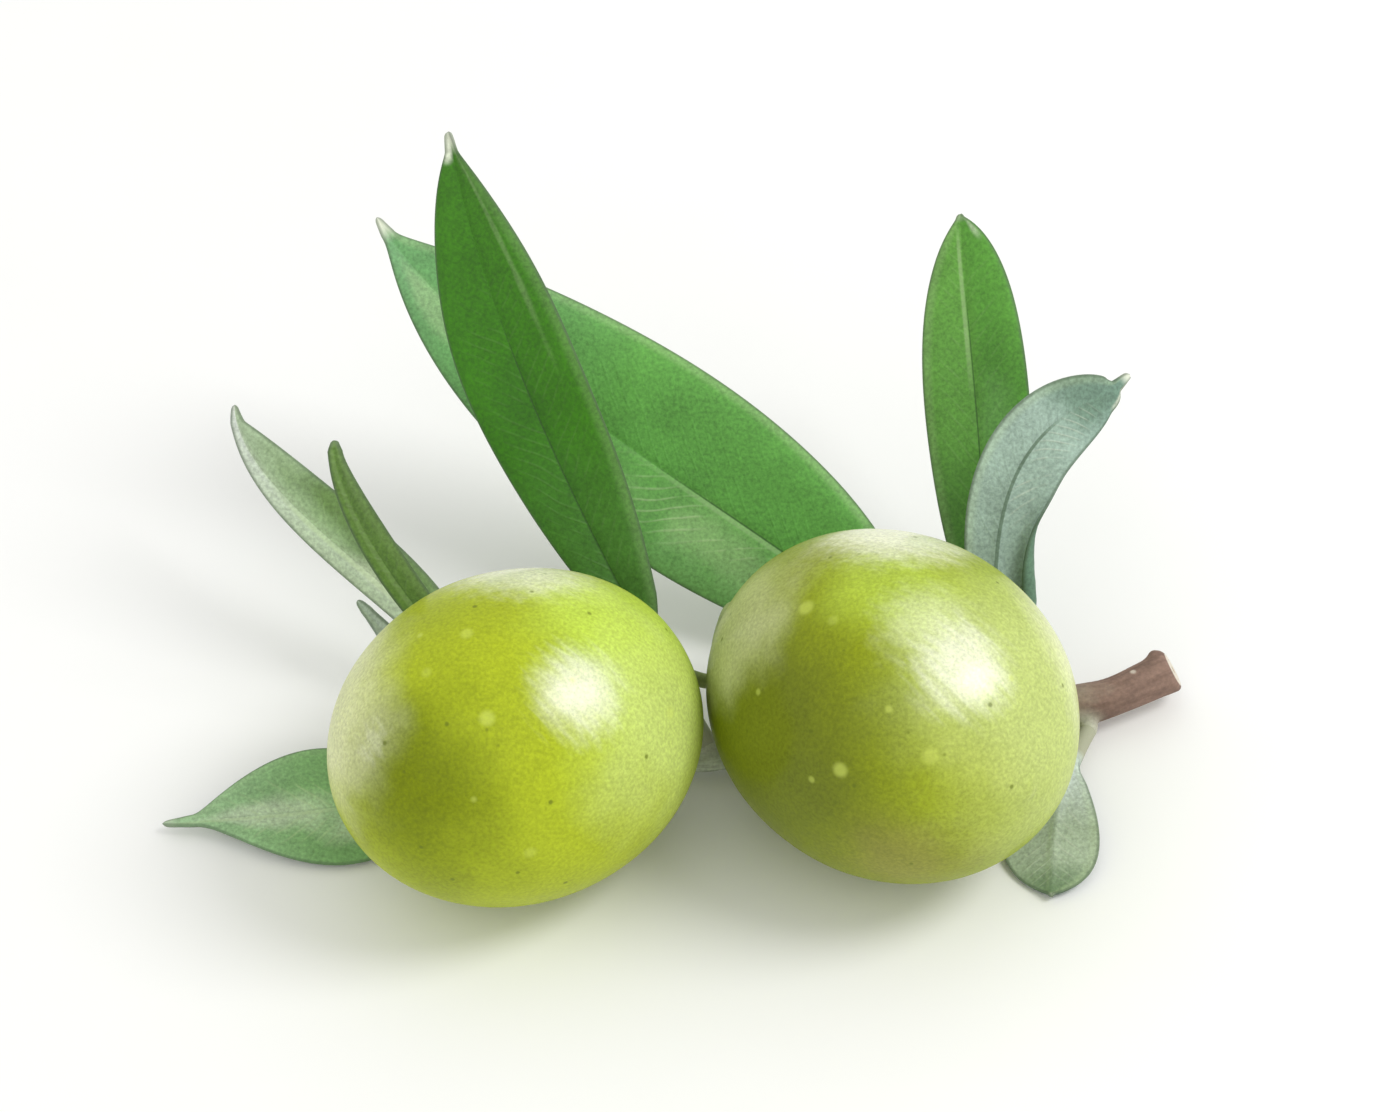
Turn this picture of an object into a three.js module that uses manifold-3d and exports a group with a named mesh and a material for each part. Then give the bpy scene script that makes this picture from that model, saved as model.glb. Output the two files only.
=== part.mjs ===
// A cut olive sprig with two green olives, lying on a table.
// Millimetres, +Z up. The table is z = 0 and the sprig's footprint is centred on the origin.
import * as THREE from 'three';
import { mergeVertices } from 'three/addons/utils/BufferGeometryUtils.js';
import Module from 'manifold-3d';

const wasm = await Module();
wasm.setup();

// ---- Driving dimensions -------------------------------------------------------------------

// Middle of the footprint in the layout below, where x runs along the twig and y to the back.
const FOOTPRINT_MIDDLE = new THREE.Vector3(-1.2, 13.3, 0);

// Fruit: bodies of revolution about the line from the tip to the stalk.
const FRUIT_SLENDERNESS = 1.2;
const FRUIT = {
  olive_left: {
    diameter: 21.5,
    centre: [-11.42, 0.05, 10.6],
    toStalk: [0.784, 0.596, -0.171],
    colour: 0xb0bd3a,
  },
  olive_right: {
    diameter: 22.3,
    centre: [12.76, 2.43, 11.04],
    toStalk: [-0.624, 0.752, -0.211],
    colour: 0x98a33a,
  },
};
const FRUIT_RINGS = 22;
const FRUIT_SIDES = 30;
const FRUIT_POLE_CROWDING = 0.75;
const STALK_HOLLOW_DEPTH = 0.7;
const STALK_HOLLOW_RADIUS = 1.6;
const TIP_NIPPLE_HEIGHT = 0.25;
const TIP_NIPPLE_RADIUS = 0.6;

// Twig, from the cut end to the growing tip.
const TWIG_POINTS = [
  [32.2, 13.8, 2.6],
  [26.2, 10.9, 2.3],
  [20.0, 11.5, 1.35],
  [15.3, 11.1, 1.02],
  [8.0, 10.0, 0.95],
  [1.3, 6.95, 0.95],
  [-6.0, 7.6, 0.8],
  [-10.6, 8.4, 0.8],
  [-14.7, 8.8, 0.8],
  [-17.0, 9.2, 0.8],
];
const TWIG_CUT_RADIUS = 1.35;
const TWIG_TIP_RADIUS = 0.42;
const TWIG_TAPER = 1.6;
const TWIG_STEPS = 40;
const TWIG_SIDES = 8;
const NODE_SWELLING = 0.14;
const NODE_SWELLING_LENGTH = 1.6;
const CUSHION_ROOT_FLARE = 1.3;
const CUSHION_TOP_FLARE = 1.1;

// Fruit stalk: one stem that forks to both olives.
const STALK_ROOT = [2.4, 7.6, 2.1];
const STALK_FORK = [2.0, 9.3, 5.3];
const STALK_RADIUS = 0.68;
const BRANCH_RADIUS = 0.5;
const BRANCH_END_RADIUS = 0.7;
const BRANCH_LEFT = [[1.7, 9.8, 7.0], [0.8, 9.45, 8.0]];
const BRANCH_RIGHT = [[1.6, 11.0, 6.5], [1.9, 13.0, 7.2], [2.6, 14.3, 7.9]];
const BRANCH_STRAIGHT_RUN = 1.1;
const BRANCH_STEPS = 14;
const BRANCH_ROOT_DEPTH = 0.3;
const STALK_SIDES = 8;

// Clearance between pieces that meet.
const JOIN_GAP = 0.25;

// Finish.
const SKIN_ROUGHNESS = 0.35;
const LEAF_ROUGHNESS = 0.55;
const STALK_ROUGHNESS = 0.7;
const STALK_COLOUR = 0x8f9a62;
const BARK_ROUGHNESS = 0.85;
const BARK_COLOUR = 0x8f796b;

// Leaf blades.
const BLADE_THICKNESS = 0.6;
const BLADE_RINGS = 14;
const BLADE_ACROSS = [-1, -0.75, -0.4, 0, 0.4, 0.75, 1];
const FURLED_ACROSS = [-1, -0.88, -0.76, -0.62, -0.4, 0, 0.4, 0.75, 1];
const PETIOLE_FADE = 0.12;
const PETIOLE_WRAP = 1.36;
const POINT_LENGTH = 1.6;
const POINT_HALF_WIDTH = 0.5;
const POINT_END_HALF_WIDTH = 0.2;
const POINT_FADE = 0.3;
const ROLL_START = 0.5;
const ROLL_POWER = 2;
const WAVE_OFFSET_RIGHT = 1.3;

// Each leaf starts at `at`, where its petiole leaves the twig, and its midrib is a cubic curve
// through two guide points to the tip, all measured from there. `upperSide` is the direction
// that the upper face looks at the base and at the tip. Each half of the blade, seen from above
// with the tip away, has its greatest half width and how it fills towards the base and the tip.
// `fold` lifts both halves from the midrib and `roll` turns their margins down. A `furl` rolls
// the left margin right over near the base, where that half is wider by `extra`.
const LEAVES = {
  leaf_middle_tall: {
    at: [0.9, 7.9, 1.7],
    midrib: [[-9.1, 11.0, 10.7], [-14.5, 16.7, 22.6], [-17.0, 25.6, 31.3]],
    petiole: 0.1,
    stemRadius: 0.6,
    upperSide: [[-0.1, -0.75, 0.65], [-0.35, -0.6, 0.7]],
    left: [3.95, 0.93, 0.7],
    right: [4.15, 0.85, 0.8],
    fold: 0.16, roll: -0.5, wave: 0.25, waves: 2.2,
    colour: 0x3d7722,
  },
  leaf_middle_broad: {
    at: [15.0, 12.5, 1.9],
    midrib: [[0.8, 7.2, 1.4], [-28.8, 15.6, 11.2], [-36.4, 24.9, 20.1]],
    petiole: 0.08,
    stemRadius: 0.62,
    upperSide: [[0.05, -0.85, 0.55], [0.1, -0.6, 0.8]],
    left: [6.0, 1.03, 1.0],
    right: [6.95, 1.01, 0.94],
    fold: 0.14, roll: -0.5, wave: 0.3, waves: 2.4,
    colour: 0x62a04b,
  },
  leaf_right_upright: {
    at: [19.3, 12.9, 1.9],
    midrib: [[1.2, 7.1, 4.9], [-1.4, 19.3, 19.0], [-1.4, 23.7, 21.1]],
    petiole: 0.1,
    stemRadius: 0.55,
    upperSide: [[-0.15, -0.75, 0.6], [-0.25, -0.55, 0.8]],
    left: [3.45, 0.8, 0.73],
    right: [3.7, 0.77, 0.57],
    fold: 0.16, roll: -0.4, wave: 0.2, waves: 2.0,
    colour: 0x609545,
  },
  leaf_right_curled: {
    at: [20.7, 11.2, 3.0],
    midrib: [[-3.2, 10.7, 14.1], [4.8, 8.2, 17.3], [8.0, 12.8, 17.0]],
    petiole: 0.08,
    stemRadius: 0.52,
    upperSide: [[-0.2, 0.75, -0.6], [0.3, 0.9, -0.3]],
    left: [2.9, 0.5, 0.6],
    right: [2.6, 0.72, 0.56],
    fold: 0.12, roll: -0.5, wave: 0.15, waves: 1.8,
    furl: { roll: -2.9, start: 0.4, power: 1, extra: 0.5, until: [0.27, 0.44] },
    colour: 0x99afa2,
  },
  leaf_base_small: {
    at: [26.1, 8.8, 1.7],
    midrib: [[-2.9, -6.5, 0.3], [-2.7, -11.5, -0.8], [-2.9, -13.5, -1.2]],
    petiole: 0.12,
    stemRadius: 0.55,
    upperSide: [[0.25, 0.35, -0.9], [0.15, 0.25, -1.0]],
    left: [3.3, 0.74, 0.6],
    right: [2.9, 0.85, 0.58],
    fold: 0.1, roll: -0.3, wave: 0.1, waves: 1.5,
    colour: 0xa5b59b,
  },
  leaf_left_low: {
    at: [-15.8, 7.4, 0.85],
    midrib: [[-0.9, -4.8, 0.4], [-9.4, -5.4, 0.5], [-19.1, -6.0, 0]],
    petiole: 0.1,
    stemRadius: 0.48,
    upperSide: [[0, -0.22, 0.97], [0, -0.2, 0.98]],
    left: [4.6, 1.5, 1.2],
    right: [4.5, 1.5, 1.0],
    fold: 0.1, roll: -0.2, wave: 0.15, waves: 1.5,
    colour: 0x9cb695,
  },
  leaf_left_long: {
    at: [-14.6, 9.9, 1.3],
    midrib: [[1.2, 5.2, 4.6], [-15.6, 9.6, 9.9], [-16.1, 16.0, 14.2]],
    petiole: 0.08,
    stemRadius: 0.42,
    upperSide: [[-0.2, -0.7, 0.7], [-0.1, -0.7, 0.7]],
    left: [1.25, 0.8, 0.86],
    right: [2.8, 0.78, 0.66],
    fold: 0.2, roll: -0.3, wave: 0.1, waves: 1.8,
    colour: 0x829e69,
  },
  leaf_left_narrow: {
    at: [-10.6, 9.2, 1.9],
    midrib: [[-8.2, 3.3, 6.1], [-13.1, 7.3, 14.4], [-12.9, 9.1, 17.6]],
    petiole: 0.1,
    stemRadius: 0.4,
    upperSide: [[-0.1, -0.7, 0.7], [-0.1, -0.7, 0.7]],
    left: [0.8, 0.76, 0.89],
    right: [1.3, 0.78, 0.88],
    fold: 0.2, roll: -0.2, wave: 0.08, waves: 1.5,
    colour: 0x617f40,
  },
  leaf_left_young: {
    at: [-17.9, 9.9, 1.1],
    midrib: [[0.5, 2.7, 1.4], [-2.6, 5.5, 3.1], [-4.4, 7.5, 3.7]],
    petiole: 0.12,
    stemRadius: 0.36,
    upperSide: [[-0.1, -0.7, 0.7], [-0.1, -0.7, 0.7]],
    left: [0.75, 0.8, 1.0],
    right: [0.75, 0.8, 1.0],
    fold: 0.15, roll: 0, wave: 0, waves: 1,
    colour: 0x909f87,
  },
};

// ---- Helpers ------------------------------------------------------------------------------

const vec = (xyz) => new THREE.Vector3(...xyz);
const smoothstep = THREE.MathUtils.smoothstep;
const lerp = THREE.MathUtils.lerp;

// Joins rings of points into one closed skin. Rings run anticlockwise seen from the far end.
// The second half of each ring is split along the same diagonals as the first half facing it.
function loft(rings) {
  const around = rings[0].length;
  const points = rings.flat();
  const index = [];
  for (let i = 0; i < rings.length - 1; i += 1) {
    for (let j = 0; j < around; j += 1) {
      const a = i * around + j;
      const b = i * around + (j + 1) % around;
      const c = a + around;
      const d = b + around;
      index.push(...(j < around / 2 ? [a, b, d, a, d, c] : [a, b, c, b, d, c]));
    }
  }
  const lastRing = (rings.length - 1) * around;
  const startCentre = points.push(centreOf(rings[0])) - 1;
  const endCentre = points.push(centreOf(rings.at(-1))) - 1;
  for (let j = 0; j < around; j += 1) {
    const next = (j + 1) % around;
    index.push(startCentre, next, j);
    index.push(endCentre, lastRing + j, lastRing + next);
  }
  const geometry = new THREE.BufferGeometry().setFromPoints(points);
  geometry.setIndex(index);
  geometry.computeVertexNormals();
  return geometry;
}

function centreOf(ring) {
  const sum = ring.reduce((total, point) => total.add(point), new THREE.Vector3());
  return sum.divideScalar(ring.length);
}

// A round tube along a curve whose radius is a function of the share of its length.
function taperedTube(curve, radiusAt, steps, sides) {
  const frames = curve.computeFrenetFrames(steps, false);
  const rings = [];
  for (let i = 0; i <= steps; i += 1) {
    const middle = curve.getPointAt(i / steps);
    const radius = radiusAt(i / steps);
    const ring = [];
    for (let j = 0; j < sides; j += 1) {
      const angle = (2 * Math.PI * j) / sides;
      ring.push(middle.clone()
        .addScaledVector(frames.normals[i], radius * Math.cos(angle))
        .addScaledVector(frames.binormals[i], radius * Math.sin(angle)));
    }
    rings.push(ring);
  }
  return loft(rings);
}

function solidOf(geometry) {
  const bare = geometry.clone();
  bare.deleteAttribute('normal');
  bare.deleteAttribute('uv');
  const merged = mergeVertices(bare, 1e-5);
  return new wasm.Manifold(new wasm.Mesh({
    numProp: 3,
    vertProperties: new Float32Array(merged.attributes.position.array),
    triVerts: new Uint32Array(merged.index.array),
  }));
}

function geometryOf(solid) {
  const { vertProperties, triVerts } = solid.getMesh();
  const geometry = new THREE.BufferGeometry();
  geometry.setAttribute('position', new THREE.BufferAttribute(vertProperties, 3));
  geometry.setIndex(new THREE.BufferAttribute(triVerts, 1));
  geometry.computeVertexNormals();
  return geometry;
}

const fuse = (parts) => geometryOf(parts.map(solidOf).reduce((all, one) => all.add(one)));

function namedMesh(name, geometry, colour, roughness) {
  const material = new THREE.MeshStandardMaterial({ color: colour, roughness, metalness: 0 });
  const mesh = new THREE.Mesh(geometry, material);
  mesh.name = name;
  return mesh;
}

// ---- Olives -------------------------------------------------------------------------------

// Half outline from the tip to the stalk end: an ellipse with a nipple and a stalk hollow.
function fruitOutline(halfWidth) {
  const halfLength = halfWidth * FRUIT_SLENDERNESS;
  const outline = [];
  for (let i = 0; i <= FRUIT_RINGS; i += 1) {
    const share = i / FRUIT_RINGS;
    const crowding = FRUIT_POLE_CROWDING * Math.sin(2 * Math.PI * share);
    const crowded = share - crowding / (2 * Math.PI);
    const latitude = Math.PI * (crowded - 0.5);
    const radius = i % FRUIT_RINGS ? halfWidth * Math.cos(latitude) : 0;
    const hollow = STALK_HOLLOW_DEPTH * Math.exp(-((radius / STALK_HOLLOW_RADIUS) ** 2));
    const nipple = TIP_NIPPLE_HEIGHT * Math.exp(-((radius / TIP_NIPPLE_RADIUS) ** 2));
    const dent = latitude > 0 ? hollow : nipple;
    outline.push(new THREE.Vector2(radius, halfLength * Math.sin(latitude) - dent));
  }
  return outline;
}

// The table flattens the fruit where it rests.
function restOnTable(mesh) {
  mesh.updateMatrix();
  const { x, y } = mesh.position;
  const table = new THREE.BoxGeometry(60, 60, 20).translate(x, y, -10);
  table.applyMatrix4(mesh.matrix.clone().invert());
  mesh.geometry = geometryOf(solidOf(mesh.geometry).subtract(solidOf(table)));
}

function olive(name) {
  const { diameter, centre, toStalk, colour } = FRUIT[name];
  const skin = new THREE.LatheGeometry(fruitOutline(diameter / 2), FRUIT_SIDES);
  const mesh = namedMesh(name, skin, colour, SKIN_ROUGHNESS);
  mesh.position.copy(vec(centre));
  mesh.quaternion.setFromUnitVectors(new THREE.Vector3(0, 1, 0), vec(toStalk).normalize());
  restOnTable(mesh);
  return mesh;
}

// ---- Leaves -------------------------------------------------------------------------------

function midribOf(leaf) {
  return new THREE.CubicBezierCurve3(new THREE.Vector3(), ...leaf.midrib.map(vec));
}

// Half width of the blade at a share of its length, with the small point at its tip.
function halfWidth([widest, baseFill, tipFill], share, length) {
  const bodyEnd = 1 - POINT_LENGTH / length;
  const body = Math.min(share / bodyEnd, 1);
  const widestAt = baseFill / (baseFill + tipFill);
  const rise = (body / widestAt) ** baseFill;
  const fall = ((1 - body) / (1 - widestAt)) ** tipFill;
  const alongPoint = THREE.MathUtils.clamp((share - bodyEnd) / (1 - bodyEnd), 0, 1);
  const point = lerp(POINT_HALF_WIDTH, POINT_END_HALF_WIDTH, alongPoint);
  return Math.hypot(widest * rise * fall, point * Math.min(share / POINT_FADE, 1));
}

// How one half of the blade bends at a share of its length.
function halfShape(leaf, side, share, length) {
  const half = halfWidth(side < 0 ? leaf.left : leaf.right, share, length);
  const furl = side < 0 ? leaf.furl : undefined;
  if (!furl) return { half, roll: leaf.roll, start: ROLL_START, power: ROLL_POWER };
  const furled = 1 - smoothstep(share, ...furl.until);
  return {
    half: half * lerp(1, 1 + furl.extra, furled),
    roll: lerp(leaf.roll, furl.roll, furled),
    start: lerp(ROLL_START, furl.start, furled),
    power: lerp(ROLL_POWER, furl.power, furled),
  };
}

// One half of the blade's section: how far out and up a point lies, and the tilt there.
function sectionPoint(reach, fold, { half, roll, start, power }) {
  const slices = 16;
  const slice = (half * reach) / slices;
  const tiltAt = (along) => fold + roll * Math.max(0, (along - start) / (1 - start)) ** power;
  let out = 0;
  let up = 0;
  for (let i = 0; i < slices; i += 1) {
    const tilt = tiltAt((reach * (i + 0.5)) / slices);
    out += slice * Math.cos(tilt);
    up += slice * Math.sin(tilt);
  }
  return { out, up, tilt: tiltAt(reach) };
}

// A ring of points round the leaf: over the upper face from left to right, back underneath.
function leafRing(leaf, midrib, length, along) {
  const share = Math.max(0, (along - leaf.petiole) / (1 - leaf.petiole));
  const middle = midrib.getPoint(along);
  const forward = midrib.getTangent(along);
  const up = vec(leaf.upperSide[0]).lerp(vec(leaf.upperSide[1]), along);
  up.addScaledVector(forward, -up.dot(forward)).normalize();
  const right = new THREE.Vector3().crossVectors(forward, up);
  const bladeness = smoothstep(share, 0, PETIOLE_FADE);
  const upper = [];
  const lower = [];
  for (const across of leaf.furl ? FURLED_ACROSS : BLADE_ACROSS) {
    const side = across < 0 ? -1 : 1;
    const shape = halfShape(leaf, side, share, length);
    const section = sectionPoint(Math.abs(across), leaf.fold, shape);
    const wavePhase = 2 * Math.PI * leaf.waves * share + (side < 0 ? 0 : WAVE_OFFSET_RIGHT);
    const lift = section.up + leaf.wave * across * across * Math.sin(wavePhase);
    const surface = middle.clone()
      .addScaledVector(right, side * section.out)
      .addScaledVector(up, lift);
    const facing = up.clone().multiplyScalar(Math.cos(section.tilt))
      .addScaledVector(right, -side * Math.sin(section.tilt));
    for (const [list, face] of [[upper, 1], [lower, -1]]) {
      const round = middle.clone()
        .addScaledVector(right, leaf.stemRadius * Math.sin(PETIOLE_WRAP * across))
        .addScaledVector(up, face * leaf.stemRadius * Math.cos(PETIOLE_WRAP * across));
      const flat = surface.clone().addScaledVector(facing, (face * BLADE_THICKNESS) / 2);
      list.push(round.lerp(flat, bladeness));
    }
  }
  return [...upper, ...lower.reverse()];
}

function leafMesh(name) {
  const leaf = LEAVES[name];
  const midrib = midribOf(leaf);
  const length = midrib.getLength();
  const rings = [0, leaf.petiole / 2].map((along) => leafRing(leaf, midrib, length, along));
  for (let i = 0; i <= BLADE_RINGS; i += 1) {
    const share = (1 - Math.cos((Math.PI * i) / BLADE_RINGS)) / 2;
    rings.push(leafRing(leaf, midrib, length, lerp(leaf.petiole, 1, share)));
  }
  const mesh = namedMesh(name, loft(rings), leaf.colour, LEAF_ROUGHNESS);
  mesh.position.copy(vec(leaf.at));
  return mesh;
}

// ---- Twig and fruit stalk -----------------------------------------------------------------

const twigCurve = new THREE.CatmullRomCurve3(TWIG_POINTS.map(vec));

function shareNearest(curve, point) {
  const samples = 400;
  let best = 0;
  for (let i = 0; i <= samples; i += 1) {
    const distance = curve.getPointAt(i / samples).distanceTo(point);
    best = distance < curve.getPointAt(best).distanceTo(point) ? i / samples : best;
  }
  return best;
}

// Short cushion from the middle of the twig to just below the piece that grows there.
function cushion(at, direction, radius) {
  const root = twigCurve.getPointAt(shareNearest(twigCurve, at));
  const end = at.clone().addScaledVector(direction, -JOIN_GAP);
  const bend = end.clone().addScaledVector(direction, -root.distanceTo(end) / 2);
  const curve = new THREE.QuadraticBezierCurve3(root, bend, end);
  const radiusAt = (share) => radius * lerp(CUSHION_ROOT_FLARE, CUSHION_TOP_FLARE, share);
  return taperedTube(curve, radiusAt, 3, STALK_SIDES);
}

function twig() {
  const length = twigCurve.getLength();
  const growths = Object.values(LEAVES).map((leaf) => ({
    at: vec(leaf.at),
    direction: midribOf(leaf).getTangent(0),
    radius: leaf.stemRadius,
  }));
  growths.push({
    at: vec(STALK_ROOT),
    direction: vec(STALK_FORK).sub(vec(STALK_ROOT)).normalize(),
    radius: STALK_RADIUS,
  });
  const nodes = growths.map((growth) => shareNearest(twigCurve, growth.at));
  const radiusAt = (share) => {
    const plain = lerp(TWIG_TIP_RADIUS, TWIG_CUT_RADIUS, (1 - share) ** TWIG_TAPER);
    const swellings = nodes.map((node) => (
      Math.exp(-((((share - node) * length) / NODE_SWELLING_LENGTH) ** 2))
    ));
    return plain * (1 + NODE_SWELLING * Math.max(...swellings));
  };
  const stem = taperedTube(twigCurve, radiusAt, TWIG_STEPS, TWIG_SIDES);
  const cushions = growths.map(({ at, direction, radius }) => cushion(at, direction, radius));
  return namedMesh('twig', fuse([stem, ...cushions]), BARK_COLOUR, BARK_ROUGHNESS);
}

// One branch of the fruit stalk, ending in the hollow of its olive.
function stalkBranch(guides, fruit) {
  const axis = vec(fruit.toStalk).normalize();
  const hollowFloor = (fruit.diameter / 2) * FRUIT_SLENDERNESS - STALK_HOLLOW_DEPTH;
  const end = vec(fruit.centre).addScaledVector(axis, hollowFloor + JOIN_GAP);
  const straight = end.clone().addScaledVector(axis, BRANCH_STRAIGHT_RUN);
  const start = vec(STALK_FORK).add(new THREE.Vector3(0, 0, -BRANCH_ROOT_DEPTH));
  const curve = new THREE.CatmullRomCurve3([start, ...guides.map(vec), straight, end]);
  const radiusAt = (share) => lerp(BRANCH_RADIUS, BRANCH_END_RADIUS, smoothstep(share, 0.75, 1));
  return taperedTube(curve, radiusAt, BRANCH_STEPS, STALK_SIDES);
}

function fruitStalk() {
  const stem = new THREE.LineCurve3(vec(STALK_ROOT), vec(STALK_FORK));
  const pieces = [
    taperedTube(stem, (share) => lerp(STALK_RADIUS, BRANCH_RADIUS, share), 4, STALK_SIDES),
    stalkBranch(BRANCH_LEFT, FRUIT.olive_left),
    stalkBranch(BRANCH_RIGHT, FRUIT.olive_right),
  ];
  return namedMesh('fruit_stalk', fuse(pieces), STALK_COLOUR, STALK_ROUGHNESS);
}

// ---- The sprig ----------------------------------------------------------------------------

const sprig = new THREE.Group();
sprig.name = 'olive_sprig';
sprig.position.copy(FOOTPRINT_MIDDLE).negate();
sprig.add(twig(), fruitStalk());
sprig.add(...Object.keys(FRUIT).map(olive));
sprig.add(...Object.keys(LEAVES).map(leafMesh));

const group = new THREE.Group();
group.add(sprig);
export default group;
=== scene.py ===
"""Cut olive sprig with two green olives: its fine shapes and finishes, on a pale table."""
import math

import bmesh
import bpy
from bpy.props import FloatProperty, FloatVectorProperty, PointerProperty
from mathutils import Color, Matrix, Vector, noise
from mathutils.kdtree import KDTree


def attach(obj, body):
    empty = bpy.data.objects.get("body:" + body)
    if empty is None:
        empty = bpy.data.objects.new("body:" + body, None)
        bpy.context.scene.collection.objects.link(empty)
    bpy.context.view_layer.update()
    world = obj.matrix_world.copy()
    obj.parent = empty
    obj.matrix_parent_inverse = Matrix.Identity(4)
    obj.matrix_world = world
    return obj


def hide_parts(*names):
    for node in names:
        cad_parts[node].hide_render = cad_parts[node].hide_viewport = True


bl_info = {
    "name": "Olive Sprig",
    "version": (1, 0, 0),
    "blender": (4, 5, 0),
    "location": "View3D > Sidebar > Olive Sprig",
    "description": "Fine leaves, olives, fruit stalk and twig of a cut olive sprig, with their finishes",
    "category": "Add Mesh",
}

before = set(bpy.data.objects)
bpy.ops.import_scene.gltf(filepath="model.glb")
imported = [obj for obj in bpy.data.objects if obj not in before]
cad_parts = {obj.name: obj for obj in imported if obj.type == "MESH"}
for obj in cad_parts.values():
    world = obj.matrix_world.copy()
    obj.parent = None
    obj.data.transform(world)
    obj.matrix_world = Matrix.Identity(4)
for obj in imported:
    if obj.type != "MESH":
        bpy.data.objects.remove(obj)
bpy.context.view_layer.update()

# ---- Driving dimensions, in millimetres ----------------------------------------------------

# Pieces are shaped in millimetres and brought to metres when they are finished.
MM = 0.001

# Middle of the footprint in the layout that the lists below use.
FOOTPRINT_MIDDLE = Vector((-1.2, 13.3, 0))

# Fruit: bodies of revolution about the line from the tip to the stalk. Each patch of colour has
# its direction from the middle, the degrees within which it is full and beyond which it is gone,
# its colour and strength, and whether slanting streaks break its edge and make the coat glossier
# there. Besides the skin's own greens, the patches paint light, shade, reflections and highlights.
# Each lenticel and fleck has its direction, radius and strength.
FRUIT_SLENDERNESS = 1.2
FRUIT_SIDES = 192
FRUIT_RINGS = 144
POINT_NUMBER_BASE = 100_000
STALK_HOLLOW_DEPTH = 0.7
STALK_HOLLOW_RADIUS = 1.6
TIP_NIPPLE_HEIGHT = 0.25
TIP_NIPPLE_RADIUS = 0.6
UNEVENNESS_CLOSENESS = 1.7
FRUIT = {
    "olive_left": {
        "piece": "ripening_olive",
        "slot": "olive_skin",
        "diameter": 21.5,
        "centre": (-11.42, 0.05, 10.6),
        "to_stalk": (0.784, 0.596, -0.171),
        "skin": "ripening_skin",
        # Painted light on the side and top towards the key light, painted shade in the cheek away from it,
        # painted reflections at the rims and painted highlights where the key light reflects.
        "patches": [
            ((0.88, -0.05, 0.47), 15, 65, "ripening_painted_light", 0.9, False),
            ((0.44, 0.19, 0.88), 8, 40, "ripening_painted_light", 0.75, False),
            ((-0.46, -0.88, 0.12), 5, 45, "ripening_cheek_and_shade", 0.45, False),
            ((-0.52, -0.73, 0.44), 8, 44, "ripening_cheek_and_shade", 1.0, False),
            ((-0.94, -0.1, 0.3), 8, 47, "bloom_and_reflection", 0.85, False),
            ((-0.7, -0.5, 0.51), 1, 7, "glint", 0.22, True),
            ((0.05, 0.67, 0.74), 4, 38, "bloom_and_reflection", 0.72, True),
            ((0.05, 0.58, 0.81), 6, 27, "glint", 0.55, True),
            ((0.9, -0.3, 0.35), 5, 50, "bloom_and_reflection", 0.3, False),
            ((0.4, -0.4, 0.83), 4, 22, "glint", 0.7, True),
        ],
        "lenticels": [
            ((-0.26, -0.09, 0.96), 0.6, 0.3),
            ((-0.13, -0.6, 0.79), 0.7, 0.4),
            ((-0.46, -0.3, 0.83), 0.5, 0.2),
            ((0.1, -0.96, 0.1), 0.6, 0.2),
            ((0.91, -0.2, 0.42), 0.6, 0.3),
        ],
        "flecks": [
            ((-0.54, -0.69, 0.48), 0.2, 0.8),
            ((-0.46, -0.88, 0.12), 0.22, 0.7),
            ((-0.13, -0.65, 0.75), 0.18, 0.5),
            ((-0.72, -0.5, 0.5), 0.14, 0.6),
        ],
    },
    "olive_right": {
        "piece": "shaded_olive",
        "slot": "olive_skin_shaded",
        "diameter": 22.3,
        "centre": (12.76, 2.43, 11.04),
        "to_stalk": (-0.624, 0.752, -0.211),
        "skin": "shaded_skin",
        # Painted light on the side and top towards the key light, painted shade in the cheek away from it,
        # painted reflections at the rims and painted highlights where the key light reflects.
        "patches": [
            ((0.85, -0.25, 0.5), 20, 78, "shaded_painted_light", 0.95, False),
            ((-0.02, 0.0, 1.0), 5, 32, "ripening_painted_light", 0.6, False),
            ((0.28, -0.88, 0.35), 6, 30, "ripening_skin", 0.5, False),
            ((-0.72, -0.6, 0.18), 16, 70, "shaded_cheek", 0.92, False),
            ((0.02, -0.99, -0.14), 4, 30, "blush", 0.55, False),
            ((-0.88, 0.2, 0.45), 12, 36, "bloom_and_reflection", 0.55, False),
            ((0.0, 0.67, 0.74), 4, 40, "bloom_and_reflection", 0.78, True),
            ((0.05, 0.56, 0.83), 7, 29, "glint", 0.65, True),
            ((0.97, 0.1, 0.3), 10, 34, "bloom_and_reflection", 0.6, True),
            ((0.75, -0.4, 0.5), 15, 60, "bloom_and_reflection", 0.3, False),
            ((0.16, -0.28, 0.95), 3, 22, "glint", 0.3, True),
            ((0.34, -0.48, 0.8), 4, 20, "glint", 0.7, True),
        ],
        "lenticels": [
            ((-0.51, -0.05, 0.86), 0.75, 0.4),
            ((-0.31, -0.86, 0.4), 0.7, 0.45),
            ((-0.05, -0.7, 0.71), 0.35, 0.35),
            ((0.16, -0.84, 0.52), 0.75, 0.3),
            ((-0.36, -0.2, 0.91), 0.5, 0.2),
        ],
        "flecks": [
            ((-0.3, -0.4, 0.87), 0.14, 0.5),
            ((0.05, -0.78, 0.62), 0.16, 0.5),
            ((-0.5, -0.8, 0.3), 0.16, 0.5),
        ],
    },
}

# Points nearer than this are merged where a skin closes.
SEAM_MERGE = 1e-5

# Tubes, and how finely they are melted into one skin.
TUBE_SIDES = 32
TWIG_STEPS = 160
SPARE_STEPS = 8
STEM_STEPS = 20
BRANCH_STEPS = 80
TWIG_VOXEL = 0.11
STALK_VOXEL = 0.07
JOIN_SMOOTHING = 3

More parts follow.
